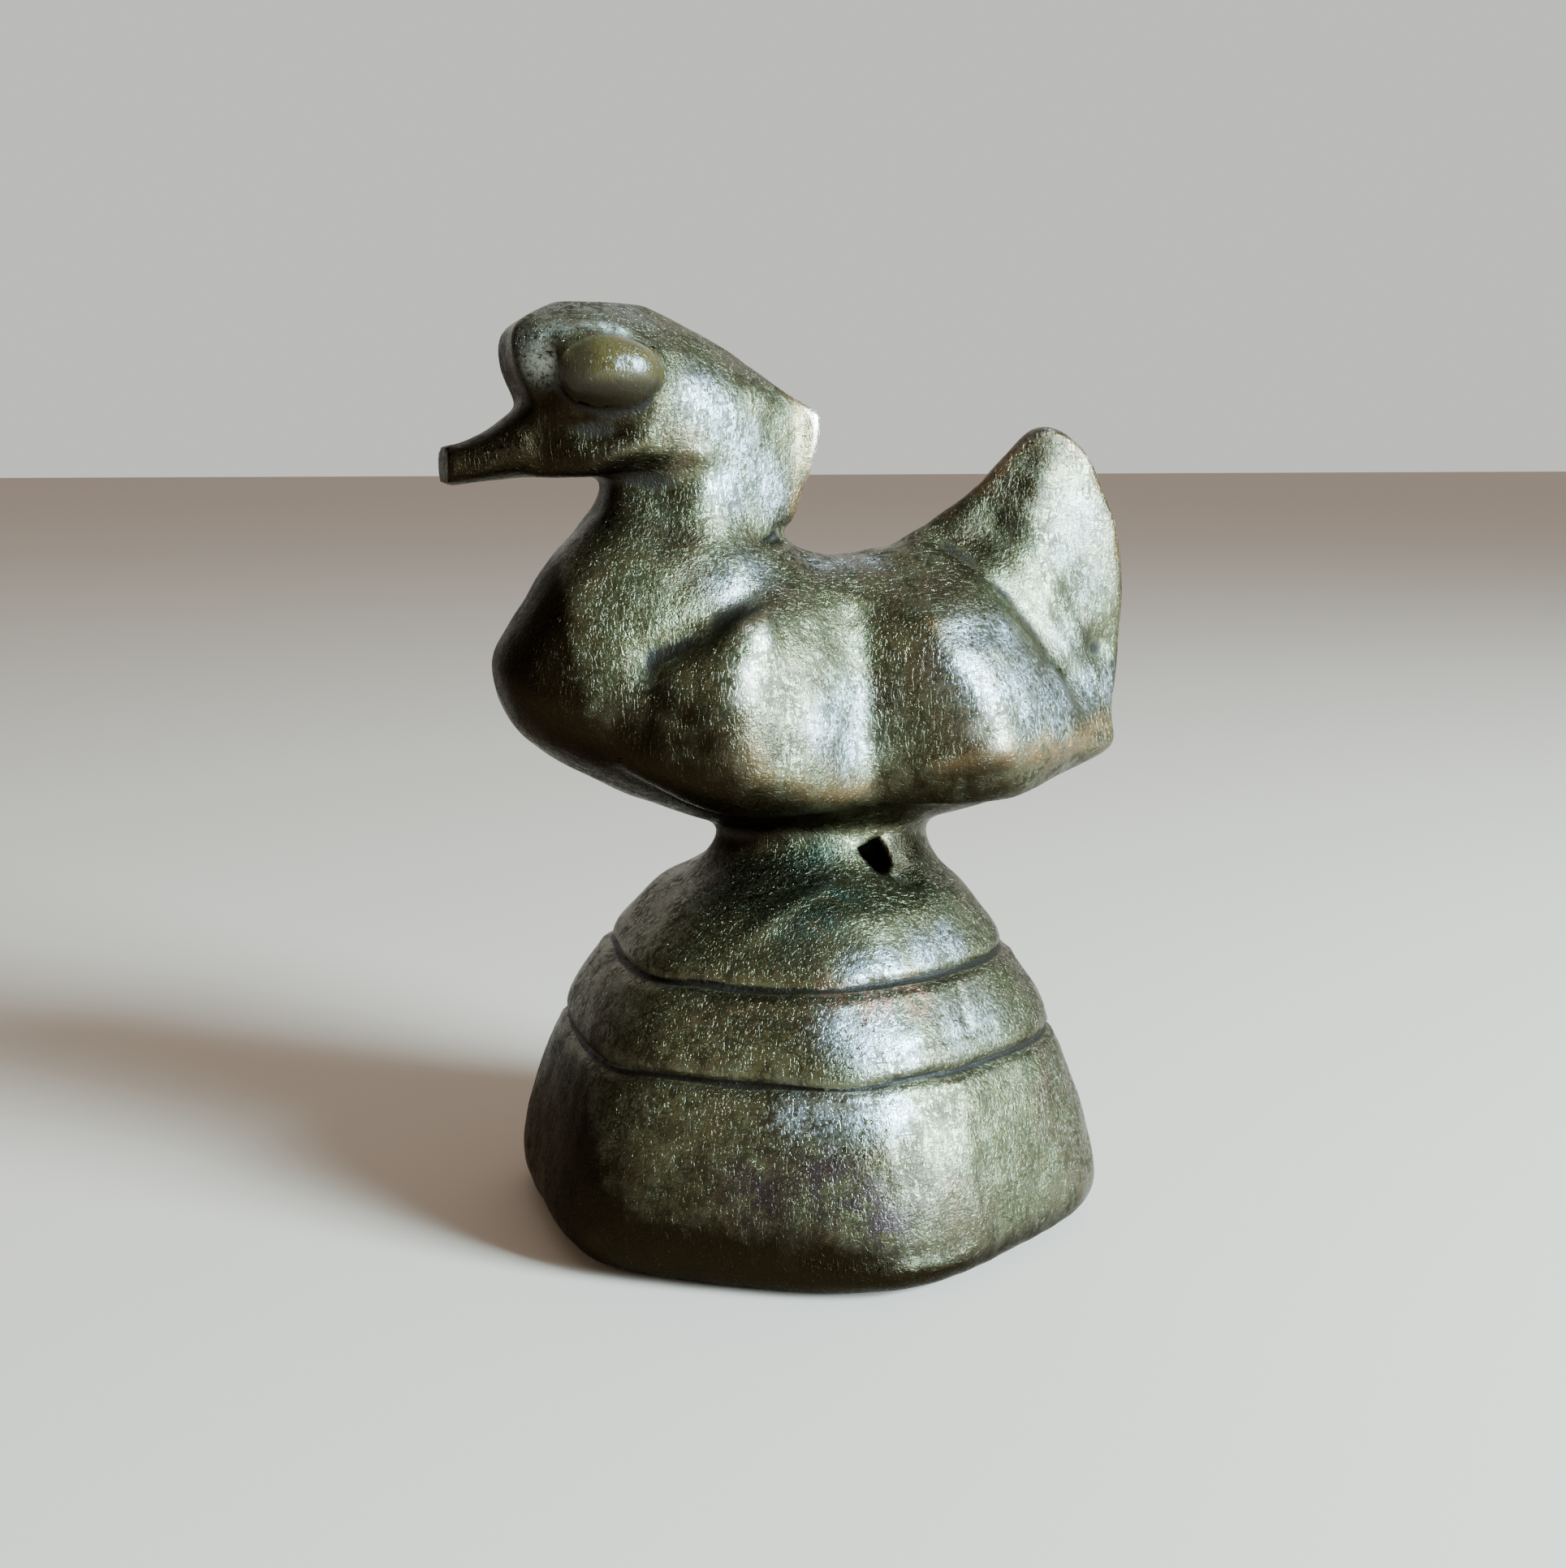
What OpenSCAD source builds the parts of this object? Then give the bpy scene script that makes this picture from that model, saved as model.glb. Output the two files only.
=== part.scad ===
// Market weight in the shape of a crested duck that sits on a short stem over a six-sided stepped foot.
// The bird looks along -Y, its left flank is at +X, and the foot stands on Z = 0. Lengths are millimetres.

/* [Foot] */
// Width of the foot across its flats, at the widest line
foot_width = 31.6; // [28:0.2:36]
// Width of the flat face that the weight stands on
foot_face_width = 27; // [18:0.2:28]
// Height of the foot, up to the lower groove
foot_height = 10.6; // [8:0.1:14]
// Height of the foot's widest line
foot_bulge_height = 2.4; // [1.2:0.1:6]
// Width of the foot just below the lower groove
foot_shoulder_width = 27.6; // [25:0.2:28]
// Sharpness of the foot's six corners, where 2 is a circle
foot_corner = 10; // [3:1:16]

/* [Band] */
// Height of the band between the two grooves
band_height = 4.6; // [3:0.1:8]
// Width of the band just above the lower groove
band_bottom_width = 26.9; // [24:0.1:27.6]
// Width of the band just below the upper groove
band_top_width = 22.8; // [21:0.2:24]
// Sharpness of the band's six corners, where 2 is a circle
band_corner = 8; // [3:1:16]

/* [Cap] */
// Height of the cap, from the upper groove to the stem
cap_height = 3.4; // [2:0.1:6]
// Width of the cap just above the upper groove
cap_bottom_width = 21.9; // [19:0.1:22.8]
// Width of the cap where the stem stands on it
cap_top_width = 17; // [15:0.2:19]
// Sharpness of the cap's six corners, where 2 is a circle
cap_corner = 7; // [3:1:16]

/* [Grooves] */
// Depth of the two grooves round the foot
groove_depth = 0.55; // [0.2:0.05:1.2]
// Width of the two grooves round the foot
groove_width = 0.85; // [0.4:0.05:1.6]

/* [Stem] */
// Height of the stem, from the cap to the bird's underside
stem_height = 3.4; // [2:0.1:6]
// Length of the stem's top, along the bird
stem_length = 12; // [8:0.2:13]
// Width of the stem's top, across the bird
stem_width = 9; // [6:0.2:9.6]
// Distance that the stem's top stands behind the foot's axis
stem_offset = 1.1; // [0:0.1:1.8]

/* [Trunk] */
// Reach of the breast ahead of the foot's axis
breast_reach = 17.4; // [16:0.2:21]
// Reach of the rump behind the foot's axis
rump_reach = 18.7; // [17:0.1:22]
// Height of the trunk, from the stem to the root of the neck
trunk_height = 15.5; // [12:0.1:19]
// Width of the trunk at the rim below the wings, without the wings
trunk_width = 14.2; // [13.4:0.2:19]
// Fullness of the trunk's cross section, where 2 is an ellipse
trunk_fullness = 2.2; // [2:0.1:3.5]
// Fullness of the belly's cross section, where 2 is an ellipse
belly_fullness = 1.7; // [1.4:0.1:2.5]

/* [Wings] */
// Thickness of the front wing lobe at its ridge
wing_thickness = 2.3; // [0.8:0.1:3]
// Thickness of the rear wing lobe at its ridge
tip_thickness = 1.8; // [0.8:0.1:3]
// Thickness of both lobes and of the tail fan along the edges where they are laid on
wing_edge = 0.3; // [0.2:0.05:0.6]

/* [Tail] */
// Reach of the tail fan behind the foot's axis
fan_reach = 19.6; // [19:0.1:24]
// Rise of the fan's tip above the root of the neck
fan_rise = 6.8; // [4:0.1:10]
// Thickness of the fan along its outer edge
fan_edge = 1.4; // [1:0.1:3]

/* [Neck] */
// Height of the neck, from the trunk to the jaw
neck_height = 4; // [2.5:0.1:6]
// Width of the neck just below the jaw
neck_width = 6.9; // [5:0.1:7.4]
// Reach of the throat ahead of the foot's axis
throat_reach = 11; // [9:0.1:12.6]

/* [Head] */
// Height of the head, from the jaw to the crown
head_height = 9; // [7.4:0.1:12]
// Width of the head across the cheeks
head_width = 9.3; // [8.4:0.1:12]
// Reach of the flat face, where the bill is set on, ahead of the foot's axis
face_reach = 15.6; // [15:0.1:18]
// Bulge of the forehead ahead of the flat face
brow_bulge = 0.7; // [0.2:0.1:1.6]
// Width of the flat face
face_width = 6; // [5.8:0.1:7]

/* [Bill] */
// Length of the bill ahead of the face
bill_length = 4.2; // [3:0.1:6.5]
// Width of the bill where it leaves the face
bill_width = 5.4; // [4:0.1:5.6]
// Width of the bill's blunt tip
bill_tip_width = 4.1; // [2.5:0.1:5.2]
// Height of the bill where it leaves the face
bill_height = 3.8; // [2.8:0.1:4.4]
// Height of the bill's blunt tip
bill_tip_height = 1.9; // [1.4:0.1:3.2]
// Drop of the bill's tip below its root
bill_drop = 0.4; // [0:0.1:2]

/* [Eyes] */
// Height that the eyes stand proud of the head
eye_bulge = 1.2; // [0.5:0.1:2]
// Thickness of the eyes along their edges
eye_edge = 0.2; // [0.1:0.05:0.4]

/* [Crest] */
// Reach of the plane where the crest is set on, ahead of the foot's axis
crest_root_reach = 3.2; // [2:0.1:4.6]
// Length of the crest behind that plane
crest_length = 4.2; // [3:0.1:6.5]
// Height of the crest where it is set on
crest_height = 9.9; // [7.5:0.1:10.6]
// Width of the crest where it is set on
crest_width = 3.9; // [2.5:0.1:4.8]
// Thickness of the crest's rear edge
crest_edge = 1; // [0.8:0.1:2]

/* [Hidden] */

// Heights of the seams between the stacked pieces
foot_top = foot_height;
band_top = foot_top + band_height;
cap_top = band_top + cap_height;
seat = cap_top + stem_height;
neck_root = seat + trunk_height;
jaw = neck_root + neck_height;
crown = jaw + head_height;
fan_top = neck_root + fan_rise;

// Places along the bird
trunk_length = breast_reach + rump_reach;
throat_y = -throat_reach;
face_y = -face_reach;
crest_y = -crest_root_reach;

// Lines of the trunk at nine steps from rump to breast: heights as shares of its height, breadth of its width
belly_line = [0.25, 0.2, 0.105, 0.01, -0.06, 0.04, 0.2, 0.37, 0.595];
back_line = [0.27, 0.41, 0.68, 1, 0.985, 1.2, 1.12, 0.78, 0.61];
rim_line = [0.26, 0.27, 0.265, 0.25, 0.25, 0.3, 0.41, 0.54, 0.603];
plan_line = [0.16, 0.5, 0.825, 0.975, 1, 0.975, 0.875, 0.625, 0.12];

// Outer edge of the fan from back to rump: shares of its reach, and of its tip's height over the seat
fan_line = [[0.28, 0.71], [0.51, 0.84], [0.62, 0.935], [0.73, 1], [0.86, 0.93],
    [0.965, 0.74], [1, 0.53], [0.98, 0.37], [0.95, 0.24]];

// Forehead from the bill to the crown: bulge ahead of the face, as shares of the brow's bulge
brow_line = [0, 0.75, 1.15, 0.8, -2.4];

// Head at nine steps from jaw to crown: reach behind the crest's plane as shares of the crest's length,
// and breadth as shares of the head's width
nape_line = [0.8, 0.8, 0.72, 0.58, 0.42, 0.1, -0.3, -0.8, -1.4];
cheek_line = [0.74, 0.85, 0.9, 0.96, 1, 0.99, 0.94, 0.78, 0.4];

// Lower and upper edge of the crest from its root to its rear, as shares of its height
crest_low_line = [0, 0, 0.02, 0.22, 0.62];
crest_high_line = [1, 0.93, 0.87, 0.82, 0.76];

// Counts of points along and around the pieces
around = 48;
foot_steps = 6;
band_steps = 5;
cap_steps = 4;
stem_rows = 8;
trunk_rows = 60;
trunk_steps = 24;
neck_rows = 6;
neck_steps = 18;
head_rows = 22;
head_steps = 28;
bill_rows = 7;
bill_steps = 10;
crest_rows = 8;
crest_steps = 10;

// Half breadth that a section closes to at its ends
least_edge = 0.4;

// Curves

function mix(a, b, s) = a + (b - a) * s;
function clamp(x, low, high) = min(max(x, low), high);
function ease(s) = let (c = clamp(s, 0, 1)) c * c * (3 - 2 * c);
function spread(i, n) = (1 - cos(180 * i / n)) / 2;
function reversed(list) = [for (i = [len(list) - 1 : -1 : 0]) list[i]];
function flat(lists) = [for (list = lists) each list];
function mirrored(p) = [-p[0], p[1], p[2]];
function both_sides(side) = concat(side, [for (p = reversed(side)) mirrored(p)]);

// Smooth curve through evenly spaced values, at the share t of its length
function curve(values, t) =
    let (n = len(values) - 1)
    let (s = clamp(t, 0, 1) * n)
    let (i = min(floor(s), n - 1))
    let (f = s - i)
    let (b = values[i])
    let (c = values[i + 1])
    let (a = i > 0 ? values[i - 1] : 2 * b - c)
    let (d = i + 2 <= n ? values[i + 2] : 2 * c - b)
    0.5 * (2 * b + (c - a) * f + (2 * a - 5 * b + 4 * c - d) * f * f + (3 * b - a - 3 * c + d) * f * f * f);

// Half breadth of a rounded section at the share s between its middle (0) and its end (1)
function bow(s, fullness) = pow(max(0, 1 - pow(min(abs(s), 1), fullness)), 1 / fullness);

// Solids from sections

// Two triangles of one cell of a loft, split along either diagonal
function cell(i, j, k, l, turned) = turned ? [[i, l, j], [j, l, k]] : [[i, l, k], [i, k, j]];

// Skin between rings of n points, with the diagonals turned over part of the ring
function skin(rows, n, turned) = flat([for (r = [0 : rows - 2]) flat([for (c = [0 : n - 1])
    let (d = (c + 1) % n)
    cell(r * n + c, r * n + d, (r + 1) * n + d, (r + 1) * n + c, turned[c])])]);

// Strip of triangles across a ring of n points, from each point to its opposite number on the other half
function strip(n) = flat([for (c = [0 : n / 2 - 2]) [[c, c + 1, n - 2 - c], [c, n - 2 - c, n - 1 - c]]]);

// Closed solid through a list of rings
module loft(rings, turned) {
    n = len(rings[0]);
    last = (len(rings) - 1) * n;
    low_end = strip(n);
    high_end = [for (face = low_end) [last + face[2], last + face[1], last + face[0]]];
    polyhedron(flat(rings), concat(low_end, high_end, skin(len(rings), n, turned)));
}

// Closed solid through rings that are alike on their two halves
module even_loft(rings) {
    n = len(rings[0]);
    loft(rings, [for (c = [0 : n - 1]) c >= n / 2]);
}

// Closed solid between an inner and an outer grid on one flank
module flank_slab(inner, outer) {
    m = len(inner[0]);
    rings = [for (r = [0 : len(inner) - 1]) concat(outer[r], reversed(inner[r]))];
    loft(rings, [for (c = [0 : 2 * m - 1]) c >= m]);
}

// Closed solid between an inner and an outer grid over the back, which are alike on both flanks
module back_slab(inner, outer) {
    m = len(inner[0]);
    rings = [for (r = [0 : len(inner) - 1]) concat(outer[r], reversed(inner[r]))];
    loft(rings, [for (c = [0 : 2 * m - 1]) c % m >= m / 2 - 1]);
}

// Stepped foot and stem

corner_axes = [30, 90, 150];

// Reach of a rounded hexagon in the direction a, with corners at +X and -X and 1 from its centre to its flats
function six_sided(a, corner) =
    let (sum = [for (axis = corner_axes) pow(abs(cos(a - axis)), corner)] * [1, 1, 1])
    pow((1 + 2 * pow(0.5, corner)) / sum, 1 / corner);

function plan_ring(width, length, z, corner, offset) = [for (i = [0 : around - 1])
    let (a = 360 * i / around)
    let (reach = six_sided(a, corner) / 2)
    [reach * width * cos(a), reach * length * sin(a) + offset, z]];

function round_ring(width, z, corner) = plan_ring(width, width, z, corner, 0);

// The two grooves are the rings that neighbouring tiers share
function lower_groove() = round_ring(band_bottom_width - 2 * groove_depth, foot_top, band_corner);
function upper_groove() = round_ring(cap_bottom_width - 2 * groove_depth, band_top, cap_corner);

// Rounded-under lower edge and bowed flank of the foot
foot_bow = 1.5;
function foot_rings() = concat(
    [for (i = [0 : foot_steps])
        let (s = 90 * i / foot_steps)
        round_ring(mix(foot_face_width, foot_width, sin(s)), foot_bulge_height * (1 - cos(s)), foot_corner)],
    [for (i = [1 : foot_steps])
        let (s = i / foot_steps)
        round_ring(mix(foot_width, foot_shoulder_width, pow(s, foot_bow)),
            mix(foot_bulge_height, foot_top - groove_width / 2, s), mix(foot_corner, band_corner, s))],
    [lower_groove()]);

band_bow = 1.4;
function band_rings() = concat(
    [lower_groove()],
    [for (i = [0 : band_steps])
        let (s = i / band_steps)
        round_ring(mix(band_bottom_width, band_top_width, pow(s, band_bow)),
            mix(foot_top + groove_width / 2, band_top - groove_width / 2, s), mix(band_corner, cap_corner, s))],
    [upper_groove()]);

// The cap's top stands this share of the stem's offset behind the axis
cap_lean = 0.4;
function cap_rings() = concat(
    [upper_groove()],
    [for (i = [0 : cap_steps])
        let (s = i / cap_steps)
        let (width = mix(cap_bottom_width, cap_top_width, s))
        plan_ring(width, width, mix(band_top + groove_width / 2, cap_top, s), cap_corner,
            stem_offset * cap_lean * s)]);

function stem_rings() = [for (i = [0 : stem_rows])
    let (s = i / stem_rows)
    let (flare = (1 - s) * (1 - s))
    plan_ring(mix(stem_width, cap_top_width, flare), mix(stem_length, cap_top_width, flare),
        mix(cap_top, seat, s), mix(2, cap_corner, flare), stem_offset * mix(1, cap_lean, flare))];

// Trunk

// Shares of the trunk's length where its first and last rings close it
rump_share = 0.025;
breast_share = 0.98;

function trunk_y(t) = rump_reach - trunk_length * (1 - cos(180 * t)) / 2;
function trunk_share(y) = acos(clamp(1 - 2 * (rump_reach - y) / trunk_length, -1, 1)) / 180;
function trunk_z(line, t) = seat + trunk_height * curve(line, t);

// Half breadth of the trunk at the share t of its length and the height z
function trunk_breadth(t, z) =
    let (rim = trunk_z(rim_line, t))
    let (above = z > rim)
    let (end = trunk_z(above ? back_line : belly_line, t))
    let (fullness = above ? trunk_fullness : belly_fullness)
    max(least_edge, trunk_width / 2 * curve(plan_line, t) * bow((z - rim) / (end - rim), fullness));

function trunk_row(t) = round((t - rump_share) / (breast_share - rump_share) * trunk_rows);

// Rows and steps of the trunk's grid that bound the wings
wing_rear_row = trunk_row(0.23);
wing_valley_row = trunk_row(0.49);
wing_front_row = trunk_row(0.735);
wing_low_step = 5;
wing_high_step = 19;

// Above one step the rows lean back with the crease at the front of the wings
wing_lean = 0.16;
lean_step = 10;
lean_bend = 1.5;
function row_lean(row, step) =
    let (behind = (row - wing_valley_row) / (wing_front_row - wing_valley_row))
    let (ahead = (trunk_rows - row) / (trunk_rows - wing_front_row))
    let (up = (step - lean_step) / (wing_high_step - lean_step))
    wing_lean * clamp(min(behind, ahead), 0, 1) * pow(clamp(up, 0, 1), lean_bend);

// Share of even spacing in the steps, which otherwise crowd towards the belly and the back
trunk_evenness = 0.25;

function trunk_point(row, step) =
    let (t = mix(rump_share, breast_share, row / trunk_rows) - row_lean(row, step))
    let (low = max(seat, trunk_z(belly_line, t)))
    let (high = min(neck_root, trunk_z(back_line, t)))
    let (up = mix(spread(step, trunk_steps), step / trunk_steps, trunk_evenness))
    let (z = mix(low, high, up))
    [trunk_breadth(t, z), trunk_y(t), z];

function trunk_side(row, from_step, to_step) = [for (k = [from_step : to_step]) trunk_point(row, k)];
function trunk_ring(row) = both_sides(trunk_side(row, 0, trunk_steps));

// Outward direction of the trunk's flank at a grid point
function trunk_normal(row, step) =
    let (along = trunk_point(row + 1, step) - trunk_point(row - 1, step))
    let (up = trunk_point(row, step + 1) - trunk_point(row, step - 1))
    let (n = cross(up, along))
    n / norm(n);

// Wings: two lobes laid on each flank, each with a ridge, and a valley where they meet

// Place of a lobe's ridge at its rim and at its top, as shares of its length
wing_ridge = [0.5, 0.8];
tip_ridge = [0.38, 0.68];

// Share of a lobe's thickness at the share a from its rear to its front and b from its rim to its top
swell_rear = 1.3;
swell_front = 1.2;
swell_top = 2.5;
rim_start = 0.35;
rim_slope = 4;
function swell(a, b, ridge_ends) =
    let (ridge = mix(ridge_ends[0], ridge_ends[1], b))
    let (past = (a - ridge) / (1 - ridge))
    let (rise = a < ridge ? pow(a / ridge, swell_rear) : pow(1 - past * past, swell_front))
    rise * bow(b, swell_top) * ease(rim_start + rim_slope * b);

function lobe_inner(first, last) = [for (row = [first : last]) trunk_side(row, wing_low_step, wing_high_step)];

function lobe_outer(first, last, thickness, ridge_ends) = [for (row = [first : last])
    [for (step = [wing_low_step : wing_high_step])
        let (a = (row - first) / (last - first))
        let (b = (step - wing_low_step) / (wing_high_step - wing_low_step))
        let (share = swell(a, b, ridge_ends))
        trunk_point(row, step) + trunk_normal(row, step) * mix(wing_edge, thickness, share)]];

// Tail fan: feather lines that run from a crease on the rump, where the rear lobes end, up to the fan's edge

fan_first_row = 2;
fan_last_row = trunk_row(0.39);
fan_low_step = wing_high_step;
fan_steps = trunk_steps - fan_low_step;

// Larger of two half breadths, with a rounded change from one to the other
fan_blend = 0.5;
function larger(a, b) = (a + b + sqrt((a - b) * (a - b) + fan_blend * fan_blend)) / 2;

function fan_edge_point(s) =
    let (p = curve(fan_line, s))
    [fan_edge / 2, p[0] * fan_reach, mix(seat, fan_top, p[1])];

function fan_inner(row) = both_sides(trunk_side(row, fan_low_step, trunk_steps));

function fan_outer(row) =
    let (root = trunk_point(row, fan_low_step) + trunk_normal(row, fan_low_step) * wing_edge)
    let (edge = fan_edge_point((fan_last_row - row) / (fan_last_row - fan_first_row)))
    both_sides([for (k = [0 : fan_steps])
        let (s = k / fan_steps)
        let (p = mix(root, edge, s))
        let (thin = mix(root[0], edge[0], sin(90 * s)))
        let (clear = trunk_breadth(trunk_share(p[1]), p[2]) + wing_edge)
        let (breadth = k == 0 ? root[0] : k < fan_steps ? larger(thin, clear) : max(thin, clear))
        [breadth, p[1], p[2]]]);

// Neck

// Share of the trunk's length where its back meets the root of the neck, between a share below and one above it
function neck_share(low, high, left) =
    let (middle = (low + high) / 2)
    left == 0 ? middle :
    curve(back_line, middle) > 1 ? neck_share(middle, high, left - 1) : neck_share(low, middle, left - 1);

neck_search = [0.7, 0.9];
neck_search_rounds = 20;
neck_front_y = trunk_y(neck_share(neck_search[0], neck_search[1], neck_search_rounds));
neck_fullness = 2.2;

// Half breadth under the jaw at the share q from throat to crest: round in front, and drawn in to the crest behind
neck_widest = 0.425;
function neck_breadth(q) = q < neck_widest ?
    neck_width / 2 * bow(2 * (q - neck_widest), neck_fullness) :
    mix(neck_width / 2, crest_width / 2, 1 - cos(90 * (q - neck_widest) / (1 - neck_widest)));

// The lowest ring lies on the outline of the trunk's flat top until it draws in, and the highest under the jaw
neck_taper = 4;
function neck_side(row) = [for (step = [0 : neck_steps])
    let (s = row / neck_rows)
    let (q = spread(step, neck_steps))
    let (low_y = mix(neck_front_y, crest_y, q))
    let (low_breadth = mix(trunk_breadth(trunk_share(low_y), neck_root), crest_width / 2, pow(q, neck_taper)))
    let (low = [low_breadth, low_y])
    let (high = [neck_breadth(q), mix(throat_y, crest_y, q)])
    let (p = mix(low, high, sin(90 * s)))
    [p[0], p[1], mix(neck_root, jaw, s)]];

// Head

head_widest = 0.42;
face_fullness = 3;
nape_fullness = 1.25;
brow_share = bill_height / head_height;

// Rows and steps of the head's grid that the eyes cover
eye_low_row = 6;
eye_high_row = 13;
eye_front_step = 6;
eye_rear_step = 15;
eye_row = (eye_low_row + eye_high_row) / 2;
eye_step = (eye_front_step + eye_rear_step) / 2;

// Opening of the eye's almond at a step, as a share of its middle, which is also where the head's rows draw together
eye_corner = 0.25;
function eye_opening(step) =
    let (u = abs(step - eye_step) / (eye_rear_step - eye_step))
    u < 1 ? max(eye_corner, bow(u, 2)) : min(1, mix(eye_corner, 1, u - 1));

// The rows keep to the eyes between their edges, and straighten out towards the jaw and the crown
function head_share(row, step) =
    let (hold = min(1, row / eye_low_row, (head_rows - row) / (head_rows - eye_high_row)))
    let (drawn = eye_row + (row - eye_row) * mix(1, eye_opening(step), hold))
    sin(90 * drawn / head_rows);

function head_point(row, step) =
    let (s = head_share(row, step))
    let (bulge = s > brow_share ? curve(brow_line, (s - brow_share) / (1 - brow_share)) : 0)
    let (front = face_y - brow_bulge * bulge)
    let (rear = crest_y + crest_length * curve(nape_line, s))
    let (y = mix(front, min(rear, crest_y), spread(step, head_steps)))
    let (widest = mix(front, rear, head_widest))
    let (plan = curve(cheek_line, s))
    let (ahead = y < widest)
    let (reach = (y - widest) / ((ahead ? front : rear) - widest))
    let (breadth = head_width / 2 * plan * bow(reach, ahead ? face_fullness : nape_fullness))
    [max(breadth, ahead ? face_width / 2 * plan : least_edge), y, mix(jaw, crown, s)];

function head_ring(row) = both_sides([for (k = [0 : head_steps]) head_point(row, k)]);

function head_normal(row, step) =
    let (back = head_point(row, step + 1) - head_point(row, step - 1))
    let (up = head_point(row + 1, step) - head_point(row - 1, step))
    let (n = cross(back, up))
    n / norm(n);

// Crest: a thin flange behind the head and neck, from its rear edge to its root

crest_fullness = 4;
function crest_ring(row) =
    let (s = 1 - row / crest_rows)
    let (low = neck_root + crest_height * max(0, curve(crest_low_line, s)))
    let (high = neck_root + crest_height * curve(crest_high_line, s))
    let (breadth = mix(crest_width, crest_edge, sin(90 * s)) / 2)
    both_sides([for (k = [0 : crest_steps])
        let (q = spread(k, crest_steps))
        [max(least_edge, breadth * bow(2 * q - 1, crest_fullness)), crest_y + crest_length * s, mix(low, high, q)]]);

// Bill: a blunt slab that narrows towards its tip

bill_fullness = 3.2;
bill_hollow = 1.8;
function bill_ring(row) =
    let (s = row / bill_rows)
    let (width = mix(bill_width, bill_tip_width, s))
    let (height = mix(bill_tip_height, bill_height, pow(1 - s, bill_hollow)))
    both_sides([for (k = [0 : bill_steps])
        let (q = spread(k, bill_steps))
        [max(least_edge, width / 2 * bow(2 * q - 1, bill_fullness)), face_y - bill_length * s,
            jaw - bill_drop * s + height * q]]);

// Eyes: almond domes on the cheeks

function eye_inner() = [for (row = [eye_low_row : eye_high_row])
    [for (step = [eye_front_step : eye_rear_step]) head_point(row, step)]];

function eye_outer() = [for (row = [eye_low_row : eye_high_row])
    [for (step = [eye_front_step : eye_rear_step])
        let (v = 2 * (row - eye_low_row) / (eye_high_row - eye_low_row) - 1)
        let (u = 2 * (step - eye_front_step) / (eye_rear_step - eye_front_step) - 1)
        let (dome = bow(u, 2) * (1 - v * v))
        head_point(row, step) + head_normal(row, step) * mix(eye_edge, eye_bulge, dome)]];

// Pieces

module base_foot() {
    color("#3b382f") even_loft(foot_rings());
}

module base_band() {
    color("#45423a") even_loft(band_rings());
}

module base_cap() {
    color("#4b4a3f") even_loft(cap_rings());
}

module stem() {
    color("#3f3a30") even_loft(stem_rings());
}

module trunk() {
    color("#454238") even_loft([for (row = [0 : trunk_rows]) trunk_ring(row)]);
}

module left_wing() {
    color("#5a5546") flank_slab(lobe_inner(wing_valley_row, wing_front_row),
        lobe_outer(wing_valley_row, wing_front_row, wing_thickness, wing_ridge));
}

module right_wing() {
    mirror([1, 0, 0]) left_wing();
}

module left_wing_tip() {
    color("#57523f") flank_slab(lobe_inner(wing_rear_row, wing_valley_row),
        lobe_outer(wing_rear_row, wing_valley_row, tip_thickness, tip_ridge));
}

module right_wing_tip() {
    mirror([1, 0, 0]) left_wing_tip();
}

module tail_fan() {
    color("#4f4b3d") back_slab([for (row = [fan_first_row : fan_last_row]) fan_inner(row)],
        [for (row = [fan_first_row : fan_last_row]) fan_outer(row)]);
}

module neck() {
    color("#454238") even_loft([for (row = [0 : neck_rows]) both_sides(neck_side(row))]);
}

module head() {
    color("#4a473c") even_loft([for (row = [0 : head_rows]) head_ring(row)]);
}

module crest() {
    color("#57523f") even_loft([for (row = [0 : crest_rows]) crest_ring(row)]);
}

module bill() {
    color("#5c4f38") even_loft([for (row = [0 : bill_rows]) bill_ring(row)]);
}

module left_eye() {
    color("#6a5a3c") flank_slab(eye_inner(), eye_outer());
}

module right_eye() {
    mirror([1, 0, 0]) left_eye();
}

base_foot();
base_band();
base_cap();
stem();
trunk();
left_wing();
right_wing();
left_wing_tip();
right_wing_tip();
tail_fan();
neck();
head();
crest();
bill();
left_eye();
right_eye();
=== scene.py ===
"""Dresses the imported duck-shaped weight as a worn bronze casting.

The solids of the frame are joined into one distance field, rounded as cast metal is, and carved with
the creases, ridges and wear of the real weight. The field is then cut again along the solids' seams,
so each solid gets one piece. Lengths in the field are millimetres.
"""

import math

import bpy
import numpy as np
import openvdb as vdb
from mathutils import Matrix, Vector


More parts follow.
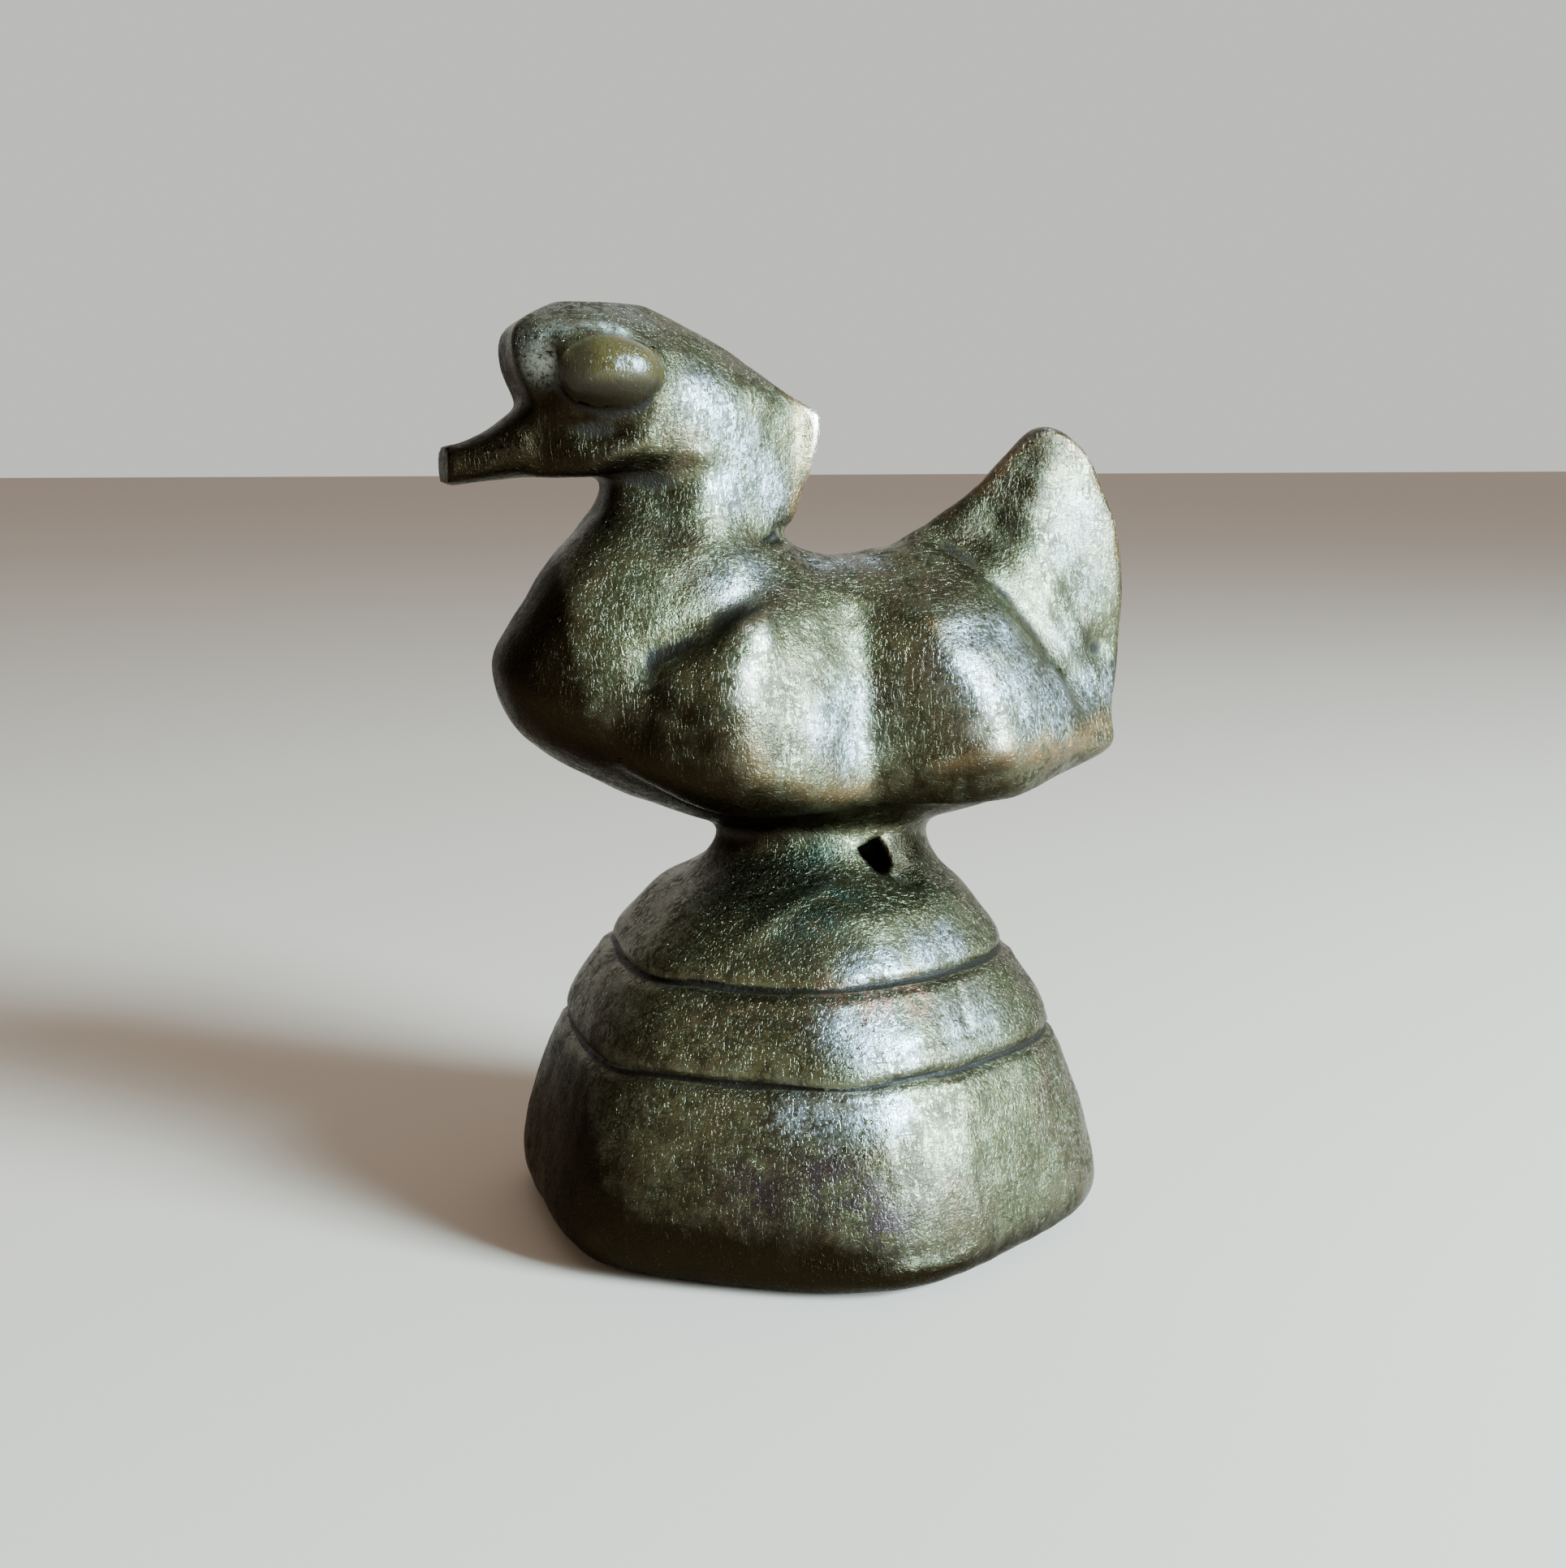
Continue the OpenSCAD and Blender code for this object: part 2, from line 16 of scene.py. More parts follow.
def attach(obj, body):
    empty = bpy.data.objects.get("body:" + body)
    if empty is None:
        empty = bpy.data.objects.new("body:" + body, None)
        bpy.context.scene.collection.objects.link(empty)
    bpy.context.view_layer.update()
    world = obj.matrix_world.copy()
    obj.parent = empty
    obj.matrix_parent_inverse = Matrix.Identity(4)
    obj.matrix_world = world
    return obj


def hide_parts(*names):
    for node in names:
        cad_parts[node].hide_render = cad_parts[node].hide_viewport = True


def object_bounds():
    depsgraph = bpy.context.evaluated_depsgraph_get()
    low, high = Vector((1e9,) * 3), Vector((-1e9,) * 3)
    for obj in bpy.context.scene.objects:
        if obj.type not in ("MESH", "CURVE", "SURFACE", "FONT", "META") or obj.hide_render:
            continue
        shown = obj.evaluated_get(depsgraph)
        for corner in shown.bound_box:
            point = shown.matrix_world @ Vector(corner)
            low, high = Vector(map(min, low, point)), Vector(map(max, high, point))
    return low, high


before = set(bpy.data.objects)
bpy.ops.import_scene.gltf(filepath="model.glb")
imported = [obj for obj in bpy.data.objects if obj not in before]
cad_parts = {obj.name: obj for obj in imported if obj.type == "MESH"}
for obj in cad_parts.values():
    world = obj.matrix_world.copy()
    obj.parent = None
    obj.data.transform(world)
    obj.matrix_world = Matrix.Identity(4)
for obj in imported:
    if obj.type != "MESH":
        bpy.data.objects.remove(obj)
cad_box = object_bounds()

# Millimetres in a metre, the grid's voxel, the reach of exact distances in voxels, and the air round the part
MM = 1000.0
VOXEL = 0.25
BAND = 10
MARGIN = 1.5
NODES = sorted(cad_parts)


# Fields


def node_mesh(name):
    """Corners in millimetres and triangles of a solid."""
    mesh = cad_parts[name].data
    mesh.calc_loop_triangles()
    points = np.zeros(len(mesh.vertices) * 3, np.float32)
    mesh.vertices.foreach_get("co", points)
    triangles = np.zeros(len(mesh.loop_triangles) * 3, np.int32)
    mesh.loop_triangles.foreach_get("vertices", triangles)
    return points.reshape(-1, 3) * MM, triangles.reshape(-1, 3).astype(np.uint32)


LOW = np.floor((np.array(cad_box[0]) * MM - MARGIN) / VOXEL).astype(int)
HIGH = np.ceil((np.array(cad_box[1]) * MM + MARGIN) / VOXEL).astype(int)
SHAPE = tuple(HIGH - LOW + 1)
AXES = [np.arange(LOW[k], HIGH[k] + 1, dtype=np.float32) * np.float32(VOXEL) for k in range(3)]
FAR = BAND * VOXEL
TRANSFORM = vdb.createLinearTransform(voxelSize=VOXEL)


def level_set(points, **faces):
    """Distance to a closed surface over the whole grid, negative inside."""
    grid = vdb.FloatGrid.createLevelSetFromPolygons(
        np.ascontiguousarray(points, np.float32), transform=TRANSFORM, halfWidth=BAND, **faces
    )
    field = np.empty(SHAPE, np.float32)
    grid.copyToArray(field, ijk=tuple(int(v) for v in LOW))
    return field


def blurred(field, sigma):
    """Gaussian blur, with sigma in millimetres."""
    reach = max(1, int(math.ceil(3 * sigma / VOXEL)))
    taps = np.exp(-0.5 * (np.arange(-reach, reach + 1) * VOXEL / sigma) ** 2)
    taps = (taps / taps.sum()).astype(np.float32)
    for axis in range(3):
        padded = np.pad(field, [(reach, reach) if k == axis else (0, 0) for k in range(3)], mode="edge")
        out = np.zeros_like(field)
        for k, tap in enumerate(taps):
            cut = [slice(None)] * 3
            cut[axis] = slice(k, k + field.shape[axis])
            out += tap * padded[tuple(cut)]
        field = out
    return field


def window(low, high):
    """Slices of the grid and its axes between two corners."""
    first = [int(np.clip(math.floor(low[k] / VOXEL) - LOW[k], 0, SHAPE[k])) for k in range(3)]
    last = [int(np.clip(math.ceil(high[k] / VOXEL) - LOW[k] + 1, 0, SHAPE[k])) for k in range(3)]
    cut = tuple(slice(a, b) for a, b in zip(first, last))
    x, y, z = (AXES[k][cut[k]] for k in range(3))
    return cut, x[:, None, None], y[None, :, None], z[None, None, :]


# Pieces that are laid on another keep a little of what they lie on, so their edges stay whole
LAID_ON = ("wing", "fan", "eye")
LAID_BIAS = 0.12
# Half of the widest hairline gap between solids that the joined skin closes
HAIRLINE = 0.3 * VOXEL


def joined_field():
    """Distance to the joined solids, and for each place the number of the nearest solid."""
    nearest = np.full(SHAPE, FAR, np.float32)
    biased = np.full(SHAPE, FAR, np.float32)
    owner = np.zeros(SHAPE, np.int8)
    for number, name in enumerate(NODES):
        points, triangles = node_mesh(name)
        field = level_set(points, triangles=triangles)
        np.minimum(nearest, field, out=nearest)
        if any(word in name for word in LAID_ON):
            field = field - LAID_BIAS
        closer = field < biased
        biased[closer] = field[closer]
        owner[closer] = number
    skin = vdb.FloatGrid(FAR)
    skin.transform = TRANSFORM
    skin.copyFromArray(nearest - HAIRLINE, ijk=tuple(int(v) for v in LOW))
    points, quads = skin.convertToQuads(isovalue=0.0)
    return level_set(points, quads=quads) + HAIRLINE, owner


# Cutting the field into pieces

CORNERS = [(a, b, c) for a in (0, 1) for b in (0, 1) for c in (0, 1)]
EDGES = [
    (p, q)
    for p in range(8)
    for q in range(p + 1, 8)
    if sum(abs(CORNERS[p][k] - CORNERS[q][k]) for k in range(3)) == 1
]


def cut_pieces(field, owner):
    """Closed quad surfaces of each solid: {number: (points, quads)}, which share the points of their seams."""
    material = np.where(field < 0, owner + 1, 0).astype(np.int8)
    shape = [n - 1 for n in SHAPE]
    views = [tuple(slice(c[k], c[k] + shape[k]) for k in range(3)) for c in CORNERS]
    low, high = material[views[0]].copy(), material[views[0]].copy()
    for view in views[1:]:
        np.minimum(low, material[view], out=low)
        np.maximum(high, material[view], out=high)
    cells = np.argwhere(low != high)
    index = np.full(shape, -1, np.int32)
    index[tuple(cells.T)] = np.arange(len(cells), dtype=np.int32)
    values = np.stack([field[view][tuple(cells.T)] for view in views], 1)
    kinds = np.stack([material[view][tuple(cells.T)] for view in views], 1)
    skin_sum, skin_count = np.zeros((len(cells), 3)), np.zeros(len(cells))
    wall_sum, wall_count = np.zeros((len(cells), 3)), np.zeros(len(cells))
    for p, q in EDGES:
        start = np.array(CORNERS[p], float)
        step = np.array(CORNERS[q], float) - start
        crosses = (kinds[:, p] == 0) != (kinds[:, q] == 0)
        span = values[:, p] - values[:, q]
        share = np.where(crosses, values[:, p] / np.where(np.abs(span) < 1e-9, 1, span), 0)
        skin_sum += crosses[:, None] * (start + np.clip(share, 0, 1)[:, None] * step)
        skin_count += crosses
        differs = kinds[:, p] != kinds[:, q]
        wall_sum += differs[:, None] * (start + 0.5 * step)
        wall_count += differs
    on_skin = skin_sum / np.maximum(skin_count, 1)[:, None]
    on_wall = wall_sum / np.maximum(wall_count, 1)[:, None]
    place = np.where(skin_count[:, None] > 0, on_skin, on_wall)
    points = (cells + place + LOW) * VOXEL
    faces = {number: [] for number in range(len(NODES))}
    for axis in range(3):
        u, v = (axis + 1) % 3, (axis + 2) % 3
        cut = [slice(1, -1)] * 3
        cut[axis] = slice(0, -1)
        behind = material[tuple(cut)]
        cut[axis] = slice(1, None)
        ahead = material[tuple(cut)]
        spots = np.argwhere(behind != ahead)
        a, b = behind[tuple(spots.T)], ahead[tuple(spots.T)]
        base = spots + 1
        base[:, axis] = spots[:, axis]
        quad = []
        for du, dv in ((-1, -1), (0, -1), (0, 0), (-1, 0)):
            cell = base.copy()
            cell[:, u] += du
            cell[:, v] += dv
            quad.append(index[tuple(cell.T)])
        quad = np.stack(quad, 1)
        for number in range(len(NODES)):
            faces[number].append(quad[a == number + 1])
            faces[number].append(quad[b == number + 1][:, ::-1])
    out = {}
    for number in range(len(NODES)):
        quads = np.concatenate(faces[number])
        used, local = np.unique(quads, return_inverse=True)
        out[number] = (points[used], local.reshape(-1, 4))
    return out


def sampled(field, points):
    """Field values at points in millimetres, by trilinear interpolation."""
    g = points / VOXEL - LOW
    i = np.clip(np.floor(g).astype(int), 0, np.array(SHAPE) - 2)
    f = g - i
    total = np.zeros(len(points))
    for c in CORNERS:
        weight = np.ones(len(points))
        for k in range(3):
            weight = weight * (f[:, k] if c[k] else 1 - f[:, k])
        total += weight * field[i[:, 0] + c[0], i[:, 1] + c[1], i[:, 2] + c[2]]
    return total


# Sculpting

F, owner_field = joined_field()
# How far a soft mark reaches, in its widths
REACH = 2.6


def ease(t):
    """Smooth step from 0 to 1."""
    t = np.clip(t, 0, 1)
    return t * t * (3 - 2 * t)


def soft_min(a, b, k):
    """Lesser of two fields, blended where they differ by less than k."""
    h = np.clip(0.5 + 0.5 * (b - a) / k, 0, 1)
    return b + (a - b) * h - k * h * (1 - h)


def soft_max(a, b, k):
    return -soft_min(-a, -b, k)


def sides(mirrored):
    """Signs of X on which a mark is made."""
    return (1, -1) if mirrored else (1,)


def line_distance(x, y, z, line):
    """Distance from places to a line of points."""
    best = None
    for p, q in zip(line[:-1], line[1:]):
        step = q - p
        share = ((x - p[0]) * step[0] + (y - p[1]) * step[1] + (z - p[2]) * step[2]) / (step @ step)
        share = np.clip(share, 0, 1)
        dx, dy, dz = (v - p[k] - share * step[k] for k, v in enumerate((x, y, z)))
        gap = dx**2 + dy**2 + dz**2
        best = gap if best is None else np.minimum(best, gap)
    return np.sqrt(best)


def stroke(line, amount, width, mirrored=True):
    """Raises (positive amount) or cuts (negative amount) a soft line along points on the skin."""
    for sign in sides(mirrored):
        points = np.array(line, np.float32) * np.array([sign, 1, 1], np.float32)
        cut, x, y, z = window(points.min(0) - REACH * width, points.max(0) + REACH * width)
        F[cut] -= amount * np.exp(-((line_distance(x, y, z, points) / width) ** 2))


def ellipsoid(x, y, z, centre, radii):
    """Squared distance from a centre, counted in radii."""
    return sum(((v - centre[k]) / radii[k]) ** 2 for k, v in enumerate((x, y, z)))


def blob(centre, radii, amount, mirrored=True):
    """Raises or sinks a soft round patch."""
    for sign in sides(mirrored):
        c, r = np.array(centre) * [sign, 1, 1], np.array(radii)
        cut, x, y, z = window(c - REACH * r, c + REACH * r)
        F[cut] -= amount * np.exp(-ellipsoid(x, y, z, c, r))


def scoop(centre, radii, soft):
    """Takes an ellipsoid out of the metal."""
    c, r = np.array(centre), np.array(radii)
    cut, x, y, z = window(c - 2 * r - soft, c + 2 * r + soft)
    F[cut] = soft_max(F[cut], (1 - np.sqrt(ellipsoid(x, y, z, c, r))) * r.min(), soft)


def pierce(corners, depth, soft):
    """Cuts a straight-sided hole along X, with its corners in Y and Z clockwise, down to a depth."""
    c = np.array(corners)
    cut, x, y, z = window((depth - 1, *(c.min(0) - 1)), (depth + 6, *(c.max(0) + 1)))
    inside = depth - x
    for (y0, z0), (y1, z1) in zip(c, np.roll(c, -1, axis=0)):
        side = ((z - z0) * (y1 - y0) - (y - y0) * (z1 - z0)) / math.hypot(y1 - y0, z1 - z0)
        inside = np.maximum(inside, side)
    F[cut] = soft_max(F[cut], -inside, soft)


def lumps(size, amount, seed):
    """Seeded unevenness of hand-shaped wax, of a size and a mean height."""
    noise = np.random.default_rng(seed).standard_normal(SHAPE, dtype=np.float32)
    noise = blurred(noise, size)
    return noise * np.float32(amount / noise.std())


def smooth_zone(low, high, sigma, fade):
    """Blurs the field inside a box, with a soft change at its faces."""
    cut, x, y, z = window(np.array(low) - fade, np.array(high) + fade)
    weight = 1.0
    for value, first, last in zip((np.abs(x), y, z), low, high):
        weight = weight * ease((value - first) / fade + 1) * ease((last - value) / fade + 1)
    F[cut] += weight * (blurred(F[cut], sigma) - F[cut])


def cast_rounding(field):
    """Rounds the edges: most on the body, less on the head, and not at all on the bill."""
    sharp, soft = blurred(field, HEAD_ROUNDING), blurred(field, BODY_ROUNDING)
    on_head = ease((AXES[2] - HEAD_LEVEL) / 2.0)[None, None, :]
    on_bill = ease((BILL_LEVEL - AXES[1]) / 1.0)[None, :, None]
    cast = soft + (sharp - soft) * on_head
    return cast + (field - cast) * on_bill


HEAD_ROUNDING = 0.2
BODY_ROUNDING = 0.42
# Z above which the head begins, and Y ahead of which the bill does
HEAD_LEVEL = 40.5
BILL_LEVEL = -17.0
F = cast_rounding(F)


# The sides of head and neck run back to the crest's thin rear edge without a step
smooth_zone((0.9, -8.0, 38.0), (7.0, -0.6, 47.5), 0.8, 1.2)
smooth_zone((-6.0, -8.0, 36.0), (6.0, -1.5, 39.0), 0.8, 1.0)

# Head

EYE_OUTLINE = [
    (3.7, -15.1, 46.7), (4.6, -14.0, 48.0), (4.5, -12.0, 48.7), (4.3, -10.1, 48.2), (4.4, -8.6, 46.8),
    (4.5, -10.2, 45.0), (4.3, -12.1, 44.6), (3.9, -13.9, 45.1), (3.7, -15.1, 46.7),
]
stroke(EYE_OUTLINE, -0.24, 0.36)
blob((4.9, -11.6, 46.8), (1.4, 1.9, 1.3), 0.8)
blob((5.9, -11.4, 47.1), (0.35, 0.26, 0.26), -0.18)
blob((3.9, -13.0, 43.9), (1.2, 2.0, 0.8), -0.6)
blob((3.3, -15.2, 45.6), (0.9, 0.8, 1.2), -0.3)
blob((3.9, -14.7, 47.2), (0.9, 0.75, 0.9), -0.6)
stroke([(3.5, -15.5, 48.0), (4.4, -13.8, 48.9), (4.4, -11.5, 49.3), (4.2, -9.3, 48.9), (4.0, -8.0, 47.9)], 0.25, 0.6)
stroke([(3.6, -12.4, 42.2), (4.0, -10.9, 43.0), (4.1, -9.3, 43.5), (4.0, -7.7, 43.5), (3.8, -6.8, 43.0)], 0.3, 0.7)
blob((3.5, -9.6, 41.3), (1.3, 2.0, 0.9), -0.75)
NAPE_RIDGE = [(4.2, -7.4, 47.2), (4.2, -7.0, 46.0), (4.0, -6.6, 43.0), (3.8, -5.9, 39.6), (4.4, -5.3, 37.6)]
stroke(NAPE_RIDGE, 0.2, 1.4)
smooth_zone((3.0, -9.0, 43.2), (6.0, -6.2, 47.6), 0.7, 0.8)
blob((3.5, -9.0, 39.3), (1.4, 1.6, 1.8), -0.4)

# Wings

FRONT_CREASE = [
    (6.3, -4.4, 35.3), (7.0, -7.4, 33.6), (6.3, -10.0, 32.3), (7.1, -10.9, 30.4), (7.2, -11.2, 28.8),
]
WING_RIDGE = [
    (8.0, -5.2, 33.2), (8.4, -5.9, 31.7), (8.8, -6.0, 28.6), (8.8, -5.3, 26.5), (8.0, -2.4, 25.3), (7.1, 0.8, 24.8),
]
VALLEY = [(5.8, 1.5, 34.0), (6.0, 1.5, 33.3), (6.5, 1.4, 31.9), (7.3, 1.3, 28.2), (7.1, 1.6, 24.8)]
TIP_RIDGE = [(6.9, 5.0, 33.5), (7.3, 5.1, 32.9), (8.5, 7.3, 29.0), (8.6, 8.1, 27.3)]
RIM = [(8.3, 5.0, 26.1), (8.6, 8.1, 27.1), (7.2, 11.6, 27.1), (5.1, 14.9, 27.1)]
TAIL_CREASE = [
    (1.1, 7.5, 38.3), (2.9, 9.4, 36.5), (3.8, 11.8, 33.7), (4.4, 14.1, 30.6), (4.3, 15.6, 28.2), (3.7, 16.9, 27.1),
]
smooth_zone((2.5, -3.6, 33.4), (8.5, 9.0, 37.2), 1.1, 1.2)
smooth_zone((4.5, -0.3, 25.0), (9.5, 3.2, 34.0), 0.9, 1.0)
stroke(FRONT_CREASE, -0.4, 0.9)
stroke(FRONT_CREASE, -0.12, 0.4)
blob((8.1, -8.7, 29.8), (1.6, 1.6, 3.0), -0.45)
stroke(WING_RIDGE, 0.35, 1.6)
stroke(WING_RIDGE, 0.18, 0.7)
stroke(VALLEY, -0.45, 1.5)
blob((8.6, -3.2, 28.4), (2.6, 3.2, 4.2), 0.8)
blob((7.6, 10.0, 29.0), (2.6, 3.0, 2.8), 0.35)
blob((8.0, 3.8, 29.0), (1.4, 1.5, 3.2), -0.35)
stroke(TIP_RIDGE, 0.5, 1.5)
stroke(TIP_RIDGE, 0.12, 0.5)
stroke(RIM, 0.2, 0.8)
stroke([(8.2, 4.5, 24.7), (8.0, 8.0, 25.6), (6.6, 11.5, 25.6), (4.6, 14.8, 25.7)], -0.3, 1.1)
stroke([(1.2, 13.4, 40.2), (1.9, 13.6, 37.5), (2.6, 13.4, 35.0)], 0.3, 1.8)
blob((2.2, 10.2, 39.3), (1.6, 1.7, 2.4), -0.45)
blob((1.6, 12.0, 42.4), (1.3, 1.4, 1.8), -0.35)
stroke(TAIL_CREASE, -0.25, 0.9)
stroke(TAIL_CREASE, -0.06, 0.35)

# Base: two engraved grooves, cut by hand and not quite level


def groove(level, tilt, depth, width):
    """Cuts a line round the base, with the low burr that the tool raised under it."""
    cut, x, y, z = window((-18, -18, level - 2.5), (18, 18, level + 2.5))
    turn = np.arctan2(y, x)
    line = level + tilt * np.sin(turn * 2 + 0.6) + 0.06 * np.sin(turn * 7 + 1.0) + 0.04 * np.sin(turn * 13)
    force = 0.8 + 0.2 * np.sin(turn * 3 + 2.0) * np.sin(turn * 5)
    F[cut] += depth * force * np.exp(-(((z - line) / width) ** 2))
    F[cut] -= 0.1 * np.exp(-(((z - line + 2.2 * width) / (1.4 * width)) ** 2))


for groove_level in (15.15, 10.75):
    groove(groove_level, 0.12, 0.45, 0.17)

# The hexagon's edge nearest to the viewer stays crisper than the others
stroke([(12.0, -2.6, 15.0), (13.0, -2.9, 12.9), (13.8, -3.1, 11.2)], 0.24, 1.5, False)
stroke([(14.0, -1.5, 10.2), (14.8, -1.6, 8.6)], 0.15, 1.7, False)
smooth_zone((11.5, -5.0, 2.5), (17.5, 4.0, 9.6), 1.5, 1.2)

# Casting flaw in the stem

FLAW_CORNERS = ((1.6, 21.2), (3.1, 21.8), (3.6, 20.3), (3.1, 19.6), (2.4, 20.2))
FLAW_DEPTH = 2.2
scoop((6.2, 4.4, 20.6), (1.7, 1.7, 1.4), 0.4)
pierce(FLAW_CORNERS, FLAW_DEPTH, 0.12)
stroke([(5.2, 3.6, 19.7), (5.5, 4.3, 19.55), (5.6, 5.0, 19.5)], -0.2, 0.22, False)

# Marks of use and of the wax knife

TAIL_LINES = (
    [(3.5, 11.0, 35.4), (3.3, 13.6, 32.6), (3.0, 15.8, 29.6), (3.0, 17.0, 27.8)],
    [(2.9, 12.6, 36.0), (2.8, 14.6, 33.2), (2.6, 16.4, 30.2), (2.5, 17.4, 28.2)],
    [(2.3, 14.0, 37.0), (2.3, 15.6, 34.0), (2.1, 17.2, 31.0), (1.9, 17.9, 28.6)],
)
for line in TAIL_LINES:
    stroke(line, -0.06, 0.28)
blob((1.9, 17.3, 31.6), (1.2, 1.2, 0.9), -0.5, False)
stroke([(15.4, 0.2, 8.2), (15.8, 0.5, 7.2), (16.0, 0.6, 6.3)], -0.13, 0.22, False)
stroke([(10.1, 5.5, 14.6), (10.9, 5.5, 13.7), (11.4, 5.5, 12.9)], -0.16, 0.25, False)
stroke([(13.4, 1.7, 12.5), (12.3, 4.4, 12.5), (10.7, 7.4, 12.4)], -0.12, 0.22, False)
stroke([(7.6, -5.1, 17.7), (7.2, -3.2, 18.8), (6.4, -1.0, 19.6)], 0.25, 0.6, False)
for rise in (0.0, 0.7, 1.4):
    start = (-3.6 + 0.3 * rise, -12.3 + 0.7 * rise, 13.0 + rise)
    end = (-2.4, -12.0 + 0.5 * rise, 13.9 + rise)
    stroke([start, end], -0.14, 0.22, False)

# Notch at the foot of the crest
stroke([(0.4, -0.6, 38.4), (1.0, -1.6, 38.4), (1.2, -2.4, 37.9), (2.4, -3.9, 37.5)], -0.45, 0.45)
stroke([(0.5, -0.7, 38.3), (1.4, -0.8, 37.9), (2.4, -0.9, 37.3)], -0.25, 0.35)

F += lumps(2.4, 0.07, 11)
F += lumps(0.5, 0.02, 12)

# The foot stays flat and the whole stays in the solids' box
for axis in range(3):
    position = AXES[axis].reshape([-1 if k == axis else 1 for k in range(3)])
    F = np.maximum(F, np.maximum(cad_box[0][axis] * MM - position, position - cad_box[1][axis] * MM))

# Blur of the seams, their depth under the skin and the most they move in voxels, and the steps to a voxel's neighbours
SEAM_BLUR = 0.3
SEAM_DEPTH = 3 * VOXEL
SEAM_REACH = 4
MOVES = [(axis, move) for axis in range(3) for move in (-1, 1)]


def settle_owners():
    """Smooth seams, which near the skin run straight in, so no wall lies just under it."""
    best = np.zeros(SHAPE, np.float32)
    smooth = owner_field.copy()
    for number in range(len(NODES)):
        spots = np.argwhere(owner_field == number)
        low = np.maximum(spots.min(0) - 5, 0)
        high = np.minimum(spots.max(0) + 6, SHAPE)
        cut = tuple(slice(p, q) for p, q in zip(low, high))
        share = blurred((owner_field[cut] == number).astype(np.float32), SEAM_BLUR)
        more = share > best[cut]
        best[cut][more] = share[more]
        smooth[cut][more] = number
    grad = np.gradient(F, VOXEL)
    size = np.maximum(sum(g * g for g in grad), 1e-6)
    near = np.argwhere(np.abs(F) < SEAM_DEPTH)
    at = tuple(near.T)
    step = np.stack([F[at] * g[at] / size[at] for g in grad], 1) / VOXEL
    spot = near - np.clip(step, -SEAM_REACH, SEAM_REACH)
    spot = np.clip(np.rint(spot).astype(int), 0, np.array(SHAPE) - 1)
    settled = smooth.copy()
    settled[at] = smooth[tuple(spot.T)]
    return settled


def gather_crumbs(owner):
    """Gives each bit that lies apart from the main part of its solid to a solid that it touches."""
    inside = F < 0
    loose = np.zeros(SHAPE, bool)
    for number in range(len(NODES)):
        spots = np.argwhere(inside & (owner == number))
        cut = tuple(slice(p - 1, q + 2) for p, q in zip(spots.min(0), spots.max(0)))
        mine = inside[cut] & (owner[cut] == number)
        heart = np.where(mine, blurred(mine.astype(np.float32), 1.0), 0)
        main = heart == heart.max()
        count = 0
        while count < main.sum():
            count = main.sum()
            for axis, move in MOVES:
                main |= np.roll(main, move, axis) & mine
        loose[cut] |= mine & ~main
    owner = owner.copy()
    count = 0
    while loose.sum() != count:
        count = loose.sum()
        for axis, move in MOVES:
            joins = np.roll(inside & ~loose, move, axis) & loose
            owner[joins] = np.roll(owner, move, axis)[joins]
            loose &= ~joins
    return owner


owner_field = gather_crumbs(settle_owners())


# Bronze


class Nodes:
    """Short calls to add and link shader nodes."""

    def __init__(self, tree):
        self.tree = tree

    def add(self, kind, inputs=(), **settings):
        node = self.tree.nodes.new("ShaderNode" + kind)
        for key, value in settings.items():
            setattr(node, key, value)
        for key, value in dict(inputs).items():
            self.put(node.inputs[key], value)
        return node

    def put(self, socket, value):
        if isinstance(value, bpy.types.NodeSocket):
            self.tree.links.new(value, socket)
        else:
            socket.default_value = value

    def mask(self, name):
        return self.add("Attribute", attribute_name=name).outputs["Fac"]

    def noise(self, place, scale, detail=3.0, rough=0.55, twist=0.0):
        settings = {"Vector": place, "Scale": scale, "Detail": detail, "Roughness": rough, "Distortion": twist}
        return self.add("TexNoise", settings).outputs["Fac"]

    def ramp(self, value, low, high):
        span = {"Value": value, "From Min": low, "From Max": high}
        return self.add("MapRange", span, interpolation_type="SMOOTHSTEP").outputs["Result"]

    def math(self, operation, a, b):
        return self.add("Math", {0: a, 1: b}, operation=operation).outputs[0]

    def times(self, a, b):
        return self.math("MULTIPLY", a, b)

    def plus(self, a, b):
        return self.math("ADD", a, b)

    def minus(self, a, b):
        return self.math("SUBTRACT", a, b)

    def most(self, a, b):
        return self.math("MAXIMUM", a, b)

    def mix(self, share, a, b):
        node = self.add("Mix", {"Factor": share}, data_type="RGBA")
        self.put(node.inputs[6], a)
        self.put(node.inputs[7], b)
        return node.outputs[2]

    def stretched(self, place, turn, scale):
        return self.add("Mapping", {"Vector": place, "Rotation": turn, "Scale": scale}).outputs["Vector"]


def rgb(red, green, blue):
    return (red, green, blue, 1.0)


OLIVE = rgb(0.104, 0.091, 0.032)
SAGE = rgb(0.113, 0.115, 0.053)
UMBER = rgb(0.085, 0.056, 0.022)
# Dark brown of the painted shade, also used for specks in the eye
SHADE = rgb(0.014, 0.0095, 0.0045)
MATT_DARK = rgb(0.034, 0.03, 0.016)
# Pale colour of the scratches, and of the painted light on the brow
PALE_SCRATCH_AND_LIT_BROW = rgb(0.34, 0.36, 0.32)
GOLD_BROWN = rgb(0.28, 0.165, 0.065)
RED_BROWN = rgb(0.2, 0.11, 0.045)
WORN_BRONZE = rgb(0.8, 0.74, 0.58)
EYE_BROWN = rgb(0.034, 0.0225, 0.0038)
EDGE_TINT = rgb(0.58, 0.57, 0.55)
EYE_GOLD = rgb(0.075, 0.05, 0.008)
